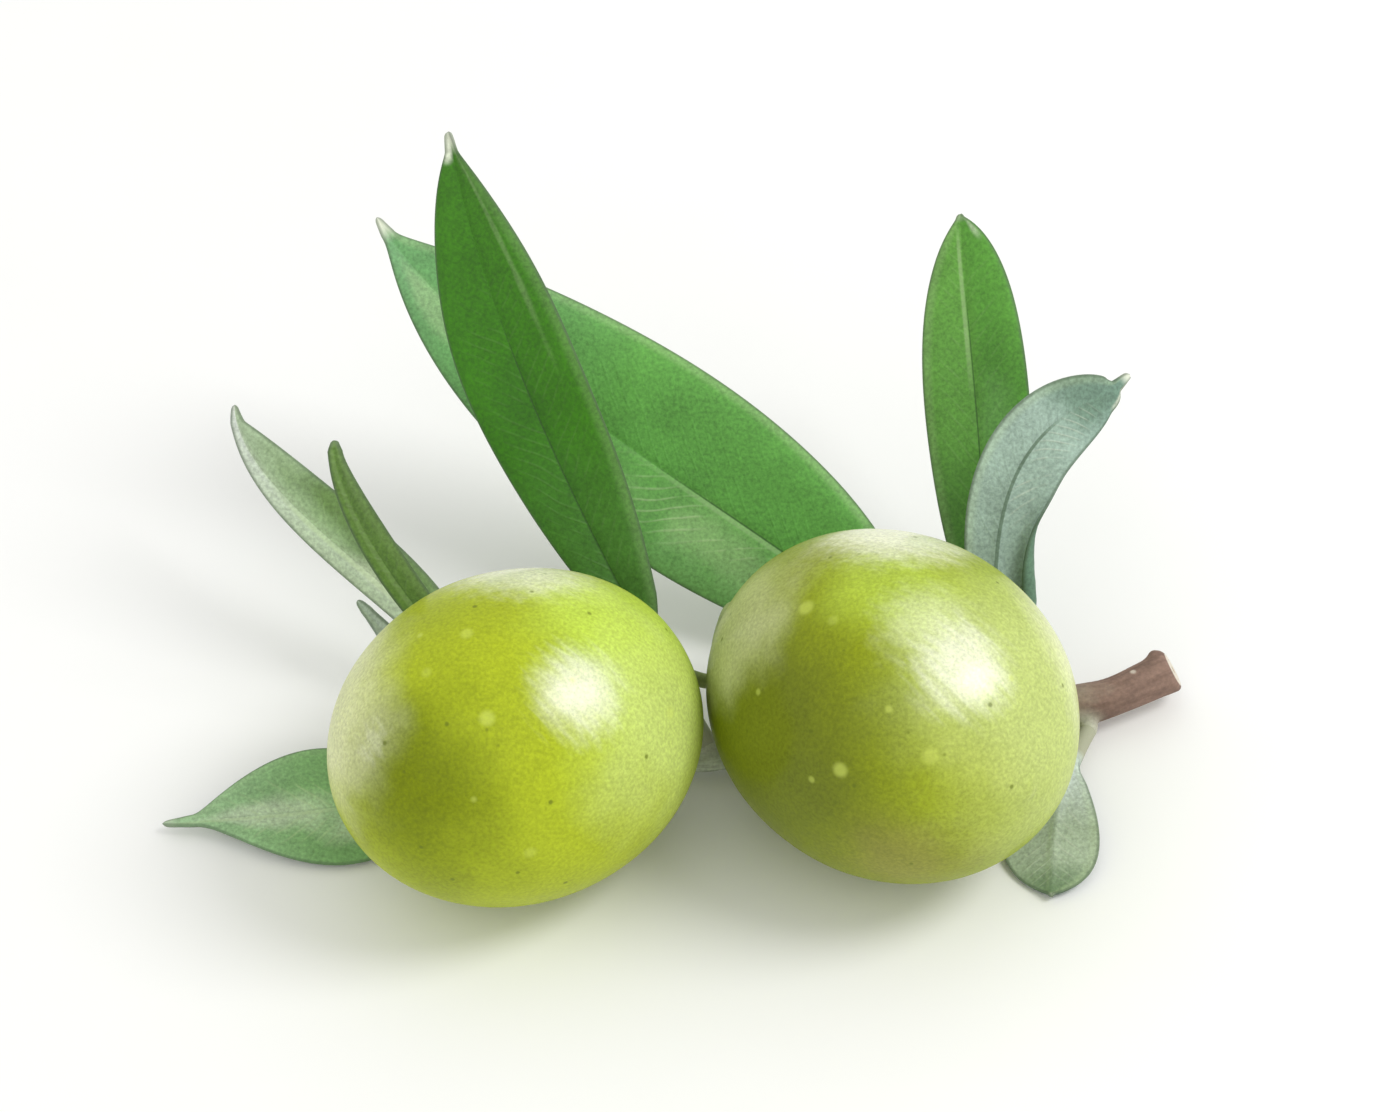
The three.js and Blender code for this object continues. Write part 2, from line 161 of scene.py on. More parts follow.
# Twig, from the cut end to the growing tip.
TWIG_POINTS = [
    (32.2, 13.8, 2.6),
    (26.2, 10.9, 2.3),
    (20.0, 11.5, 1.35),
    (15.3, 11.1, 1.02),
    (8.0, 10.0, 0.95),
    (1.3, 6.95, 0.95),
    (-6.0, 7.6, 0.8),
    (-10.6, 8.4, 0.8),
    (-14.7, 8.8, 0.8),
    (-17.0, 9.2, 0.8),
]
TWIG_CUT_RADIUS = 1.45
TWIG_TIP_RADIUS = 0.42
TWIG_TAPER = 1.6
NODE_SWELLING = 0.14
NODE_SWELLING_LENGTH = 1.6
CUSHION_ROOT_FLARE = 1.3
CUSHION_TOP_FLARE = 1.1
CUSHION_GAP = 0.1
CUSHION_SIDES = 24
CUSHION_STEPS = 10
CUT_SETBACK = 0.15
CUT_SPARE = 1.2
CUT_SLANT = Vector((0.0, -0.22, 0.38))
CUT_ROUNDING = 0.38
CUT_INSET = 0.06
BURR_OFFSET = Vector((-1.5, 0.37, 1.04))
BURR_RADIUS = 0.5
BURR_HEIGHT = 0.3
GROWTH_REACH = 2.0
GROWTH_CORE = 0.4

# Bark furrows: how close they lie round and along the twig, and how strong they are.
FURROWS = ((2.2, 0.35, 1.3), (5.5, 0.9, 0.5))
FURROW_RING = 1.6

# Where the furrows are gone and where they are full: shares of the twig towards its growing
# tip, and millimetres from its cut end.
FURROW_FADE_AT_TIP = (1.02, 0.5)
FURROW_FADE_AT_CUT = (0.2, 0.8)

# Fruit stalk: one stem that forks to both olives.
STALK_ROOT = (2.4, 7.6, 2.1)
STALK_FORK = (2.0, 9.3, 5.3)
STALK_ROOT_DEPTH = 0.4
STALK_RADIUS = 0.68
BRANCH_RADIUS = 0.5
BRANCH_END_RADIUS = 0.7
BRANCH_FLARE_START = 0.75
BRANCH_GUIDES = {
    "olive_left": [(1.5, 9.3, 5.9), (0.6, 8.9, 6.6)],
    "olive_right": [(1.6, 11.0, 6.5), (1.9, 13.0, 7.2), (2.6, 14.3, 7.9)],
}
BRANCH_STRAIGHT_RUN = 0.8
BRANCH_ROOT_DEPTH = 0.3
CALYX_RADIUS = 1.15
CALYX_THICKNESS = 0.16
CALYX_SIDES = 48
CALYX_RINGS = 10
CALYX_LOBES = 4
CALYX_LOBE_DEPTH = 0.22
CALYX_CUPPING = 0.22
CALYX_LIFT = 0.12

# Dry zone of the stalk at a calyx: how far along the axis it is gone and full, and how much of
# the plain distance is added to that.
DRY_ZONE = (1.1, 0.5)
DRY_ROUNDING = 0.3

# Leaf blades.
BLADE_COLUMNS = 96
BLADE_ROW_SPACING = 0.28
FEWEST_BLADE_ROWS = 40
COLUMN_CROWDING = 0.7
ROW_CROWDING = 0.6
MARGIN_FULLNESS = 6
MARGIN_FROM = 0.9999
PETIOLE_FADE = 0.12
PETIOLE_ROOT = 0.45
POINT_FADE = 0.3
POINT_ROUNDING = 0.4
HOOK_START = 0.88
MIDRIB_STEP = 0.001
ROLL_START = 0.5
ROLL_POWER = 2
WAVE_OFFSET_RIGHT = 1.3
GROOVE_WIDTH = 0.28
RIDGE_WIDTH = 0.34
RIDGE_LEFT_AT_TIP = 0.25
QUILT_LEAN = 0.75
QUILT_OFFSET_RIGHT = 2.7
SECTION_SLICES = 16

# Each leaf starts at `at`, where its petiole leaves the twig. Its midrib is a cubic curve through
# two guide points to the tip, all measured from there, and `hook` moves the last bit of it.
# `petiole` is the share of the length below the blade, and `stem_radius` its radius.
# `upper_side` is the direction that the upper face looks at the base and at the tip.
# Each half of the blade, seen from above with the tip away, has its greatest half width and how
# it fills towards the base and the tip. `point` is the length of the small point at the tip, and
# its half width where it starts and ends. `fold` lifts both halves from the midrib, `roll` turns
# their margins down, and `wave` is the height of the `waves` along them.
# A `furl` rolls the left margin right over near the base: by `roll`, from `start` outwards, as
# `power` shapes it, fading out between the shares of the blade in `until`. That half is wider by
# `extra` there, and by `base_extra` more at the base, fading out at `base_until`.
# `base_shade`, `tip_shade`, `left_shade` and `right_shade` are what the leaf's colour is
# multiplied by there. `streak`, `crease`, `veins` and `tip_pale` are how strongly the painted
# highlight beside the midrib, its dark crease (partly the midrib's colour, partly painted shade in
# its groove), the side veins and the pale point show. The zones of a streak and a crease are
# ranges along the blade, and that of veins a range across and one along. `edge_highlight` is a
# margin's side and the strength of the painted highlight in a strip inside it. Each wash is a
# soft oval: its place along and across, its reach along and across, its colour and strength.
LEAF_DEFAULTS = {
    "petiole": 0.1,
    "point": (1.6, 0.5, 0.2),
    "hook": (0, 0, 0),
    "furl": None,
    "left_shade": (1, 1, 1),
    "right_shade": (1, 1, 1),
    "streak_zone": (0, 1),
    "crease_zone": (0.2, 0.9),
    "vein_zone": (-1, 1, 0.2, 0.9),
    "edge_highlight": (1, 0.1),
    "washes": [],
}
LEAVES = {
    "leaf_middle_tall": {
        "piece": "tall_leaf", "slot": "leaf_dark",
        "at": (0.9, 7.9, 1.7), "stem_radius": 0.6,
        "midrib": [(-9.1, 11.0, 10.7), (-14.5, 16.7, 22.6), (-17.0, 25.6, 31.3)],
        "upper_side": [(-0.1, -0.75, 0.65), (-0.35, -0.6, 0.7)],
        "left": (3.95, 0.95, 0.75), "right": (4.15, 0.82, 0.8), "point": (1.6, 0.44, 0.2),
        "fold": 0.16, "roll": -0.5, "wave": 0.25, "waves": 2.2,
        "base_shade": (2.1, 1.15, 12.0), "tip_shade": (1.2, 1.04, 2.2),
        "right_shade": (1.05, 1.02, 1.1),
        "streak": 0, "crease": 0.6, "veins": 0.04, "tip_pale": 0.9,
        "crease_zone": (0.05, 0.62), "vein_zone": (-1, 1, 0.1, 0.7),
        "washes": [
            # Painted highlight along the turned-down right half.
            (0.76, 0.62, 0.3, 0.08, "pale_vein_and_highlight", 0.16),
            (0.965, -0.5, 0.03, 0.6, "tip", 0.8),
            (0.35, -0.2, 0.3, 0.7, "deep", 0.25),
        ],
    },
    "leaf_middle_broad": {
        "piece": "broad_leaf", "slot": "leaf_mid",
        "at": (15.0, 12.5, 1.9), "stem_radius": 0.62, "petiole": 0.08,
        "midrib": [(0.8, 7.2, 1.4), (-28.8, 15.6, 11.2), (-36.4, 24.9, 20.1)],
        "upper_side": [(0.05, -0.85, 0.55), (0.1, -0.6, 0.8)],
        "left": (6.0, 1.03, 1.0), "right": (7.15, 1.01, 0.92),
        "fold": 0.14, "roll": -0.5, "wave": 0.3, "waves": 2.4,
        "base_shade": (1.02, 1.02, 1.02), "tip_shade": (1.5, 1.12, 2.7),
        "left_shade": (1.0, 0.95, 1.05),
        "streak": 0.22, "crease": 0.7, "veins": 0.36, "tip_pale": 0.9,
        "streak_zone": (0, 0.5), "crease_zone": (0, 0.48), "vein_zone": (-0.75, -0.1, 0.25, 0.55),
        "edge_highlight": (1, 0.22),
        "washes": [
            (0.38, -0.4, 0.15, 0.4, "pale_vein_and_highlight", 0.27),
            (0.2, -0.15, 0.14, 0.2, "pale_vein_and_highlight", 0.22),
            (0.12, 0.3, 0.25, 0.8, "deep", 0.15),
            (0.85, -0.3, 0.1, 0.4, "pale_vein_and_highlight", 0.3),
            # Painted light that lifts the right olive's shade on the lower margin.
            (0.4, -0.9, 0.13, 0.4, "low_leaf", 0.45),
        ],
    },
    "leaf_right_upright": {
        "piece": "upright_leaf", "slot": "leaf_mid",
        "at": (19.3, 12.9, 1.9), "stem_radius": 0.55,
        "midrib": [(1.2, 7.1, 4.9), (-1.4, 19.3, 19.0), (-1.4, 23.7, 21.1)],
        "upper_side": [(-0.15, -0.75, 0.6), (-0.25, -0.55, 0.8)],
        "left": (3.5, 0.86, 0.9), "right": (3.75, 0.8, 0.74), "point": (0.6, 0.3, 0.14),
        "fold": 0.16, "roll": -0.4, "wave": 0.2, "waves": 2.0,
        "base_shade": (0.55, 0.6, 0.7), "tip_shade": (1, 1, 1), "right_shade": (0.86, 0.98, 0.82),
        "streak": 0.3, "crease": 0.6, "veins": 0.05, "tip_pale": 0.3,
        "streak_zone": (0.56, 0.9), "crease_zone": (0.2, 0.7), "vein_zone": (-1, 1, 0.1, 0.9),
        "edge_highlight": (-1, 0.15),
        "washes": [
            (0.62, 0.4, 0.12, 0.4, "deep", 0.16),
            (0.44, 0.35, 0.13, 0.5, "low_leaf", 0.25),
            (0.93, 0.7, 0.06, 0.25, "tip", 0.35),
        ],
    },
    "leaf_right_curled": {
        "piece": "curled_leaf", "slot": "leaf_silver",
        "at": (20.7, 11.2, 3.0), "stem_radius": 0.52, "petiole": 0.01,
        "midrib": [(-3.2, 10.7, 14.1), (4.7, 8.8, 17.9), (7.6, 12.4, 16.5)],
        "hook": (0.4, 0.4, 0.5),
        "upper_side": [(-0.2, 0.75, -0.6), (0.3, 0.9, -0.3)],
        "left": (2.9, 0.5, 0.45), "right": (2.65, 0.58, 0.56), "point": (1.6, 0.45, 0.2),
        "fold": 0.12, "roll": -0.5, "wave": 0.15, "waves": 1.8,
        "furl": {
            "roll": -3.4, "start": 0.4, "power": 1, "until": (0.15, 0.5),
            "extra": 0.2, "base_extra": 1.6, "base_until": 0.3,
        },
        "base_shade": (0.85, 0.85, 0.85), "tip_shade": (0.5, 0.62, 0.56),
        "streak": 0, "crease": 0.6, "veins": 0.22, "tip_pale": 0.9,
        "crease_zone": (0, 0.62), "vein_zone": (-0.9, -0.05, 0.3, 0.8), "edge_highlight": (1, 0.2),
        "washes": [
            (0.78, 0.1, 0.22, 1.4, "hidden_green", 0.62),
            (0.94, -0.85, 0.06, 0.25, "tip", 0.7),
        ],
    },
    "leaf_base_small": {
        "piece": "small_base_leaf", "slot": "leaf_silver",
        "at": (26.1, 8.8, 1.7), "stem_radius": 0.55, "petiole": 0.12,
        "midrib": [(-2.9, -6.5, 0.3), (-2.7, -11.5, -0.8), (-2.9, -13.5, -1.2)],
        "upper_side": [(0.25, 0.35, -0.9), (0.15, 0.25, -1.0)],
        "left": (3.5, 0.8, 0.9), "right": (3.0, 0.9, 0.74), "point": (0.5, 0.25, 0.12),
        "fold": 0.1, "roll": -0.3, "wave": 0.1, "waves": 1.5,
        "base_shade": (1.5, 1.38, 1.85), "tip_shade": (0.55, 0.68, 0.5),
        "streak": 0.12, "crease": 0.1, "veins": 0.15, "tip_pale": 0.3,
        "streak_zone": (0, 0.9), "edge_highlight": (1, 0.2),
        "washes": [(0.86, 0.0, 0.2, 1.2, "deep", 0.3)],
    },
    "leaf_left_low": {
        "piece": "low_leaf", "slot": "leaf_mid",
        "at": (-15.8, 7.4, 0.85), "stem_radius": 0.48,
        "midrib": [(-0.9, -4.8, 0.4), (-9.4, -5.4, 0.5), (-19.1, -6.0, 0.0)],
        "upper_side": [(0, -0.22, 0.97), (0, -0.2, 0.98)],
        "left": (4.5, 1.5, 1.3), "right": (4.5, 1.5, 1.0),
        "fold": 0.1, "roll": -0.2, "wave": 0.15, "waves": 1.5,
        "base_shade": (0.7, 0.8, 0.7), "tip_shade": (1.6, 1.25, 1.9),
        "right_shade": (0.95, 0.95, 0.95),
        "streak": 0.4, "crease": 0.1, "veins": 0.35, "tip_pale": 0.3,
        "streak_zone": (0.2, 0.95), "vein_zone": (-0.8, 0.6, 0.3, 0.85),
        "washes": [
            (0.68, -0.05, 0.26, 0.42, "tip", 0.4),
            (0.46, -0.4, 0.17, 0.35, "tip", 0.32),
            (0.3, 0.6, 0.25, 0.5, "deep", 0.3),
            (0.35, -0.8, 0.25, 0.4, "deep", 0.25),
        ],
    },
    "leaf_left_long": {
        "piece": "long_leaf", "slot": "leaf_pale",
        "at": (-14.6, 9.9, 1.3), "stem_radius": 0.42, "petiole": 0.08,
        "midrib": [(1.2, 5.2, 4.6), (-15.6, 9.6, 9.9), (-16.1, 16.0, 14.2)],
        "upper_side": [(-0.2, -0.7, 0.7), (-0.1, -0.7, 0.7)],
        "left": (1.25, 0.8, 0.86), "right": (2.8, 0.78, 0.66),
        "fold": 0.2, "roll": -0.3, "wave": 0.1, "waves": 1.8,
        "base_shade": (1.15, 1.05, 1.2), "tip_shade": (1.3, 1.12, 1.5),
        "left_shade": (1.12, 1.04, 1.25), "right_shade": (0.72, 0.8, 0.68),
        "streak": 0.4, "crease": 0.1, "veins": 0.08, "tip_pale": 0.2,
        "streak_zone": (0.1, 0.7), "edge_highlight": (-1, 0.1),
        "washes": [
            (0.5, 0.75, 0.32, 0.6, "olive_wash", 0.85),
            (0.38, -0.1, 0.14, 0.4, "tip", 0.35),
        ],
    },
    "leaf_left_narrow": {
        "piece": "narrow_leaf", "slot": "leaf_olive",
        "at": (-10.6, 9.2, 1.9), "stem_radius": 0.4,
        "midrib": [(-8.2, 3.3, 6.1), (-13.1, 7.3, 14.4), (-12.9, 9.1, 17.6)],
        "upper_side": [(-0.1, -0.7, 0.7), (-0.1, -0.7, 0.7)],
        "left": (0.8, 0.76, 0.89), "right": (1.3, 0.78, 0.88),
        "fold": 0.2, "roll": -0.2, "wave": 0.08, "waves": 1.5,
        "base_shade": (0.92, 0.92, 0.95), "tip_shade": (1.1, 1.05, 1.2),
        "streak": 0.1, "crease": 0.3, "veins": 0.04, "tip_pale": 0.1, "crease_zone": (0.1, 0.5),
    },
    "leaf_left_young": {
        "piece": "young_leaf", "slot": "leaf_pale",
        "at": (-17.9, 9.9, 1.1), "stem_radius": 0.36, "petiole": 0.12,
        "midrib": [(0.5, 2.7, 1.4), (-2.7, 5.7, 3.2), (-4.7, 7.9, 4.0)],
        "upper_side": [(-0.1, -0.7, 0.7), (-0.1, -0.7, 0.7)],
        "left": (0.75, 0.8, 1.0), "right": (0.75, 0.8, 1.0), "point": (1.2, 0.4, 0.2),
        "fold": 0.15, "roll": 0, "wave": 0, "waves": 1,
        "base_shade": (0.9, 0.95, 0.9), "tip_shade": (0.9, 0.95, 0.9),
        "streak": 0.2, "crease": 0, "veins": 0, "tip_pale": 0.1,
    },
}
for one_leaf in LEAVES.values():
    for key, usual in LEAF_DEFAULTS.items():
        one_leaf.setdefault(key, usual)

# Stage.
CAMERA_LENS = 150
CAMERA_SENSOR = 36
CAMERA_ELEVATION = math.radians(45)
CAMERA_DISTANCE = 381.7
CAMERA_TARGET = Vector((1.2, 2.1, 11.7))
FLOOR_HALF_SIZE = 1500
FLOOR_TINT = (0.985, 0.985, 0.98)
FLOOR_CLOUD_SCALE = 40
KEY_DIRECTION = Vector((0.62, -0.1, 0.78))
KEY_DISTANCE = 600
KEY_SIZE = (330, 210)
KEY_ROLL = math.radians(-45)
FILL_DIRECTION = Vector((-0.25, -0.7, 0.65))
FILL_DISTANCE = 900
FILL_SIZE = (1000, 1000)
CLIP_START = 10
CLIP_END = 10000


# ---- Settings -----------------------------------------------------------------------------

def linear(hex_code):
    """Linear colour of a six-digit sRGB code."""
    channels = [int(hex_code[i:i + 2], 16) / 255 for i in (0, 2, 4)]
    return tuple(Color(channels).from_srgb_to_scene_linear())


def colour_setting(name, description, hex_code):
    return FloatVectorProperty(
        name=name,
        description=description,
        subtype="COLOR",
        size=3,
        min=0,
        max=1,
        default=linear(hex_code),
    )


def length_setting(name, description, millimetres):
    return FloatProperty(
        name=name,
        description=description,
        subtype="DISTANCE",
        unit="LENGTH",
        min=0,
        precision=5,
        default=millimetres * MM,
    )


def share_setting(name, description, default):
    return FloatProperty(
        name=name, description=description, subtype="FACTOR", min=0, max=1, default=default
    )


class SprigLeafSettings(bpy.types.PropertyGroup):
    """Sizes and colours of the leaves."""

    blade_thickness: length_setting("Blade Thickness", "Thickness of a leaf blade", 0.42)
    groove_depth: length_setting("Midrib Groove", "Depth of the groove on the upper side", 0.06)
    ridge_height: length_setting("Midrib Ridge", "Height of the midrib on the underside", 0.16)
    quilting: length_setting("Quilting", "Rise of the blade between its side veins", 0.02)
    vein_spacing: length_setting("Vein Spacing", "Distance between side veins", 1.05)
    tall_leaf: colour_setting("Tall Leaf", "Upper side of the tall leaf", "38760c")
    broad_leaf: colour_setting("Broad Leaf", "Upper side of the broad leaf", "60a046")
    upright_leaf: colour_setting("Upright Leaf", "Upper side of the upright leaf", "5c943a")
    curled_leaf: colour_setting("Curled Leaf", "Underside of the curled leaf", "a0b7aa")
    small_base_leaf: colour_setting("Small Leaf", "Underside of the small base leaf", "a5b59b")
    low_leaf: colour_setting("Low Leaf", "Upper side of the low leaf", "82b070")
    long_leaf: colour_setting("Long Leaf", "Upper side of the long leaf", "a8bf95")
    narrow_leaf: colour_setting("Narrow Leaf", "Upper side of the narrow leaf", "5e8039")
    young_leaf: colour_setting("Young Leaf", "Upper side of the young leaf", "b2c0ad")
    silver: colour_setting("Silver Side", "Underside of the green leaves", "a9b8a0")
    hidden_green: colour_setting("Hidden Green", "Upper side of the silver leaves", "5b7a63")
    # Pale veins and midrib, and also the painted highlights beside the midrib and inside a margin.
    pale_vein_and_highlight: colour_setting("Pale Midrib", "Midrib of the paler leaves", "b9cf9c")
    # Dark midrib line, partly painted shade in its groove.
    dark_midrib_and_shade: colour_setting("Dark Midrib", "Midrib of the darker leaves", "2c4a22")
    deep: colour_setting("Deep Green", "Deepest green of the blades", "2c5a1c")
    olive_wash: colour_setting("Olive Wash", "Olive tinge of the long leaf", "5f7f3c")
    margin: colour_setting("Margin", "Thickened edge of the blade", "4d5f47")
    petiole: colour_setting("Petiole", "Stalk of a leaf", "a9ab92")
    tip: colour_setting("Tip", "Dry point of a leaf", "e6ead6")


class SprigFruitSettings(bpy.types.PropertyGroup):
    """Sizes and colours of the olives."""

    unevenness: length_setting("Unevenness", "How far the skin sinks below a true oval", 0.14)
    ripening_skin: colour_setting("Ripening Skin", "Yellow-green skin of one olive", "a6b420")
    # Partly the olive's own deep green, partly painted shade on its side away from the key light.
    ripening_cheek_and_shade: colour_setting("Ripening Cheek", "Its deep green cheek", "7a8800")
    # Painted light: the paler green on the olive's side and top towards the key light.
    ripening_painted_light: colour_setting("Ripening Light", "Its freshest green", "b9d24c")
    shaded_skin: colour_setting("Shaded Skin", "Olive green skin of the other olive", "8c9910")
    # Partly the olive's own dark green, partly painted shade on its lower left, away from the key light.
    shaded_cheek: colour_setting("Shaded Cheek", "Its dark cheek", "6b7618")
    # Painted light: the paler green on the right olive's side towards the key light.
    shaded_painted_light: colour_setting("Shaded Light", "Its freshest green", "a9bd4e")
    # Partly the real waxy bloom, mostly painted reflections of the white surroundings at the rims and a
    # painted halo round the highlights.
    bloom_and_reflection: colour_setting("Bloom", "Pale waxy bloom", "dde2ae")
    # Painted highlight where the key light reflects, and along the upper rims.
    glint: colour_setting("Glint", "Whitest wax, where the skin shines", "f3f6dc")
    blush: colour_setting("Blush", "First brown of ripeness", "8a8444")
    lenticel: colour_setting("Lenticel", "Pale breathing spots of the skin", "dbe96e")
    fleck: colour_setting("Fleck", "Tiny dark flecks of the skin", "5d6a12")
    wax: share_setting("Wax", "How glossy the waxy coat is", 0.6)


class SprigTwigSettings(bpy.types.PropertyGroup):
    """Sizes and colours of the twig and the fruit stalk."""

    bark_relief: length_setting("Bark Relief", "Depth of the furrows along the bark", 0.07)
    bark: colour_setting("Bark", "Grey-brown bark at the cut end", "8a7164")
    young_bark: colour_setting("Young Bark", "Grey-green bark near the growing tip", "bcc6ad")
    furrow: colour_setting("Furrow", "Furrows of the bark", "5d4a40")
    petiole_bark: colour_setting("Leaf Base", "Pale green bark where a leaf grows", "b9bca8")
    wood: colour_setting("Wood", "Pale wood of the cut end", "e4dccb")
    pith: colour_setting("Pith", "Pith in the middle of the cut end", "a58d70")
    stalk: colour_setting("Stalk", "Green fruit stalk", "9aa86b")
    calyx: colour_setting("Calyx", "Dry calyx under each olive", "8d8457")


class SprigStageSettings(bpy.types.PropertyGroup):
    """Light and floor of the stage."""

    floor: colour_setting("Floor", "Pale table top", "f7f7f5")
    sky: FloatProperty(name="Sky", description="Strength of the light all round", default=0.82)
    key: FloatProperty(name="Key", description="Power of the main softbox", unit="POWER", default=1.4)
    fill: FloatProperty(name="Fill", description="Power of the weak softbox", unit="POWER", default=0.6)


# ---- Skins and curves ---------------------------------------------------------------------

def lerp(a, b, share):
    return a + (b - a) * share


def clamp(value, low=0.0, high=1.0):
    return max(low, min(high, value))


def smoothstep(value, low, high):
    share = clamp((value - low) / (high - low))
    return share * share * (3 - 2 * share)


def placed(point):
    """A point of the layout, measured from the middle of the footprint."""
    return Vector(point) - FOOTPRINT_MIDDLE


def crowded(value, strength):
    """Draws even steps together towards every whole number."""
    return value - strength * math.sin(2 * math.pi * value) / (2 * math.pi)


class Path:
    """A smooth curve with points at even steps of its length."""

    STEPS = 400

    def __init__(self, point_at):
        fine = [point_at(i / self.STEPS) for i in range(self.STEPS + 1)]
        runs = [0.0]
        for before, after in zip(fine, fine[1:]):
            runs.append(runs[-1] + (after - before).length)
        self.length = runs[-1]
        self.points = []
        at = 0
        for i in range(self.STEPS + 1):
            run = self.length * i / self.STEPS
            while at < self.STEPS - 1 and runs[at + 1] < run:
                at += 1
            share = clamp((run - runs[at]) / (runs[at + 1] - runs[at]))
            self.points.append(fine[at].lerp(fine[at + 1], share))
        self.sides = []
        side = self.direction(0).orthogonal().normalized()
        for i in range(self.STEPS + 1):
            forward = self.direction(i / self.STEPS)
            side = (side - forward * side.dot(forward)).normalized()
            self.sides.append(side)

    def at(self, share):
        place = clamp(share) * self.STEPS
        below = min(int(place), self.STEPS - 1)
        return self.points[below].lerp(self.points[below + 1], place - below)

    def direction(self, share):
        middle = min(max(round(share * self.STEPS), 1), self.STEPS - 1)
        return (self.points[middle + 1] - self.points[middle - 1]).normalized()

    def side(self, share):
        return self.sides[round(clamp(share) * self.STEPS)]

    def nearest(self, point):
        distances = [(point - here).length for here in self.points]
        return distances.index(min(distances)) / self.STEPS


def through(points):
    """Centripetal Catmull-Rom curve through points."""
    first = points[0] * 2 - points[1]
    last = points[-1] * 2 - points[-2]
    padded = [first, *points, last]

    def point_at(share):
        place = share * (len(points) - 1)
        below = min(int(place), len(points) - 2)
        p0, p1, p2, p3 = padded[below:below + 4]
        d0, d1, d2 = [math.sqrt((b - a).length) for a, b in ((p0, p1), (p1, p2), (p2, p3))]
        t1 = ((p1 - p0) / d0 - (p2 - p0) / (d0 + d1) + (p2 - p1) / d1) * d1
        t2 = ((p2 - p1) / d1 - (p3 - p1) / (d1 + d2) + (p3 - p2) / d2) * d1
        t = place - below
        c2 = (p2 - p1) * 3 - t1 * 2 - t2
        c3 = (p1 - p2) * 2 + t1 + t2
        return p1 + t1 * t + c2 * t ** 2 + c3 * t ** 3

    return Path(point_at)


def bezier(points):
    """Point on the Bezier curve of three or four points, as a function of its parameter."""
    def point_at(share):
        level = list(points)
        while len(level) > 1:
            level = [a.lerp(b, share) for a, b in zip(level, level[1:])]
        return level[0]
    return point_at


def wrapped_grid(skin, around, along, shape):
    """Adds a closed skin. Columns run round it, rows along it: shape(turn, share, vert)."""
    made = bmesh.ops.create_grid(skin, x_segments=around, y_segments=along, size=1.0)
    verts = made["verts"]
    for vert in verts:
        vert.co = shape((vert.co.x + 1) / 2, (vert.co.y + 1) / 2, vert)
    bmesh.ops.remove_doubles(skin, verts=verts, dist=SEAM_MERGE)
    open_edges = [edge for edge in skin.edges if edge.is_boundary]
    bmesh.ops.holes_fill(skin, edges=open_edges, sides=0)
    bmesh.ops.recalc_face_normals(skin, faces=skin.faces)


def add_tube(skin, path, radius_at, steps, sides=TUBE_SIDES):
    """Adds a closed round tube along a path."""
    def shape(turn, share, _vert):
        side = path.side(share)
        other = path.direction(share).cross(side)
        angle = 2 * math.pi * turn
        radius = radius_at(share)
        return path.at(share) + (side * math.cos(angle) + other * math.sin(angle)) * radius
    wrapped_grid(skin, sides, steps, shape)


def joined_skin(skin, voxel):
    """Melts the closed skins of a bmesh into one, with soft joins."""
    mesh = bpy.data.meshes.new("joining")
    skin.to_mesh(mesh)
    skin.free()
    holder = bpy.data.objects.new("joining", mesh)
    bpy.context.scene.collection.objects.link(holder)
    remesh = holder.modifiers.new("Join", "REMESH")
    remesh.mode = "VOXEL"
    remesh.voxel_size = voxel
    evaluated = holder.evaluated_get(bpy.context.evaluated_depsgraph_get())
    joined = bmesh.new()
    joined.from_mesh(evaluated.to_mesh())
    bpy.data.objects.remove(holder)
    bpy.data.meshes.remove(mesh)
    for _ in range(JOIN_SMOOTHING):
        bmesh.ops.smooth_vert(
            joined, verts=joined.verts, factor=0.5, use_axis_x=True, use_axis_y=True, use_axis_z=True
        )
    return joined


def finish_piece(name, skin, material, node, slot):
    """Makes a piece in metres of a closed skin in millimetres, its faces turned outwards.

    It stands for a node of the frame.
    """
    if skin.calc_volume(signed=True) < 0:
        bmesh.ops.reverse_faces(skin, faces=skin.faces)
    bmesh.ops.scale(skin, vec=(MM, MM, MM), verts=skin.verts)
    for face in skin.faces:
        face.smooth = True
    mesh = bpy.data.meshes.new(name)
    skin.to_mesh(mesh)
    skin.free()
    mesh.materials.append(material)
    piece = bpy.data.objects.new(name, mesh)
    bpy.context.scene.collection.objects.link(piece)
    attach(piece, "root")
    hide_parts(node)
    return piece


# ---- Shader nodes -------------------------------------------------------------------------

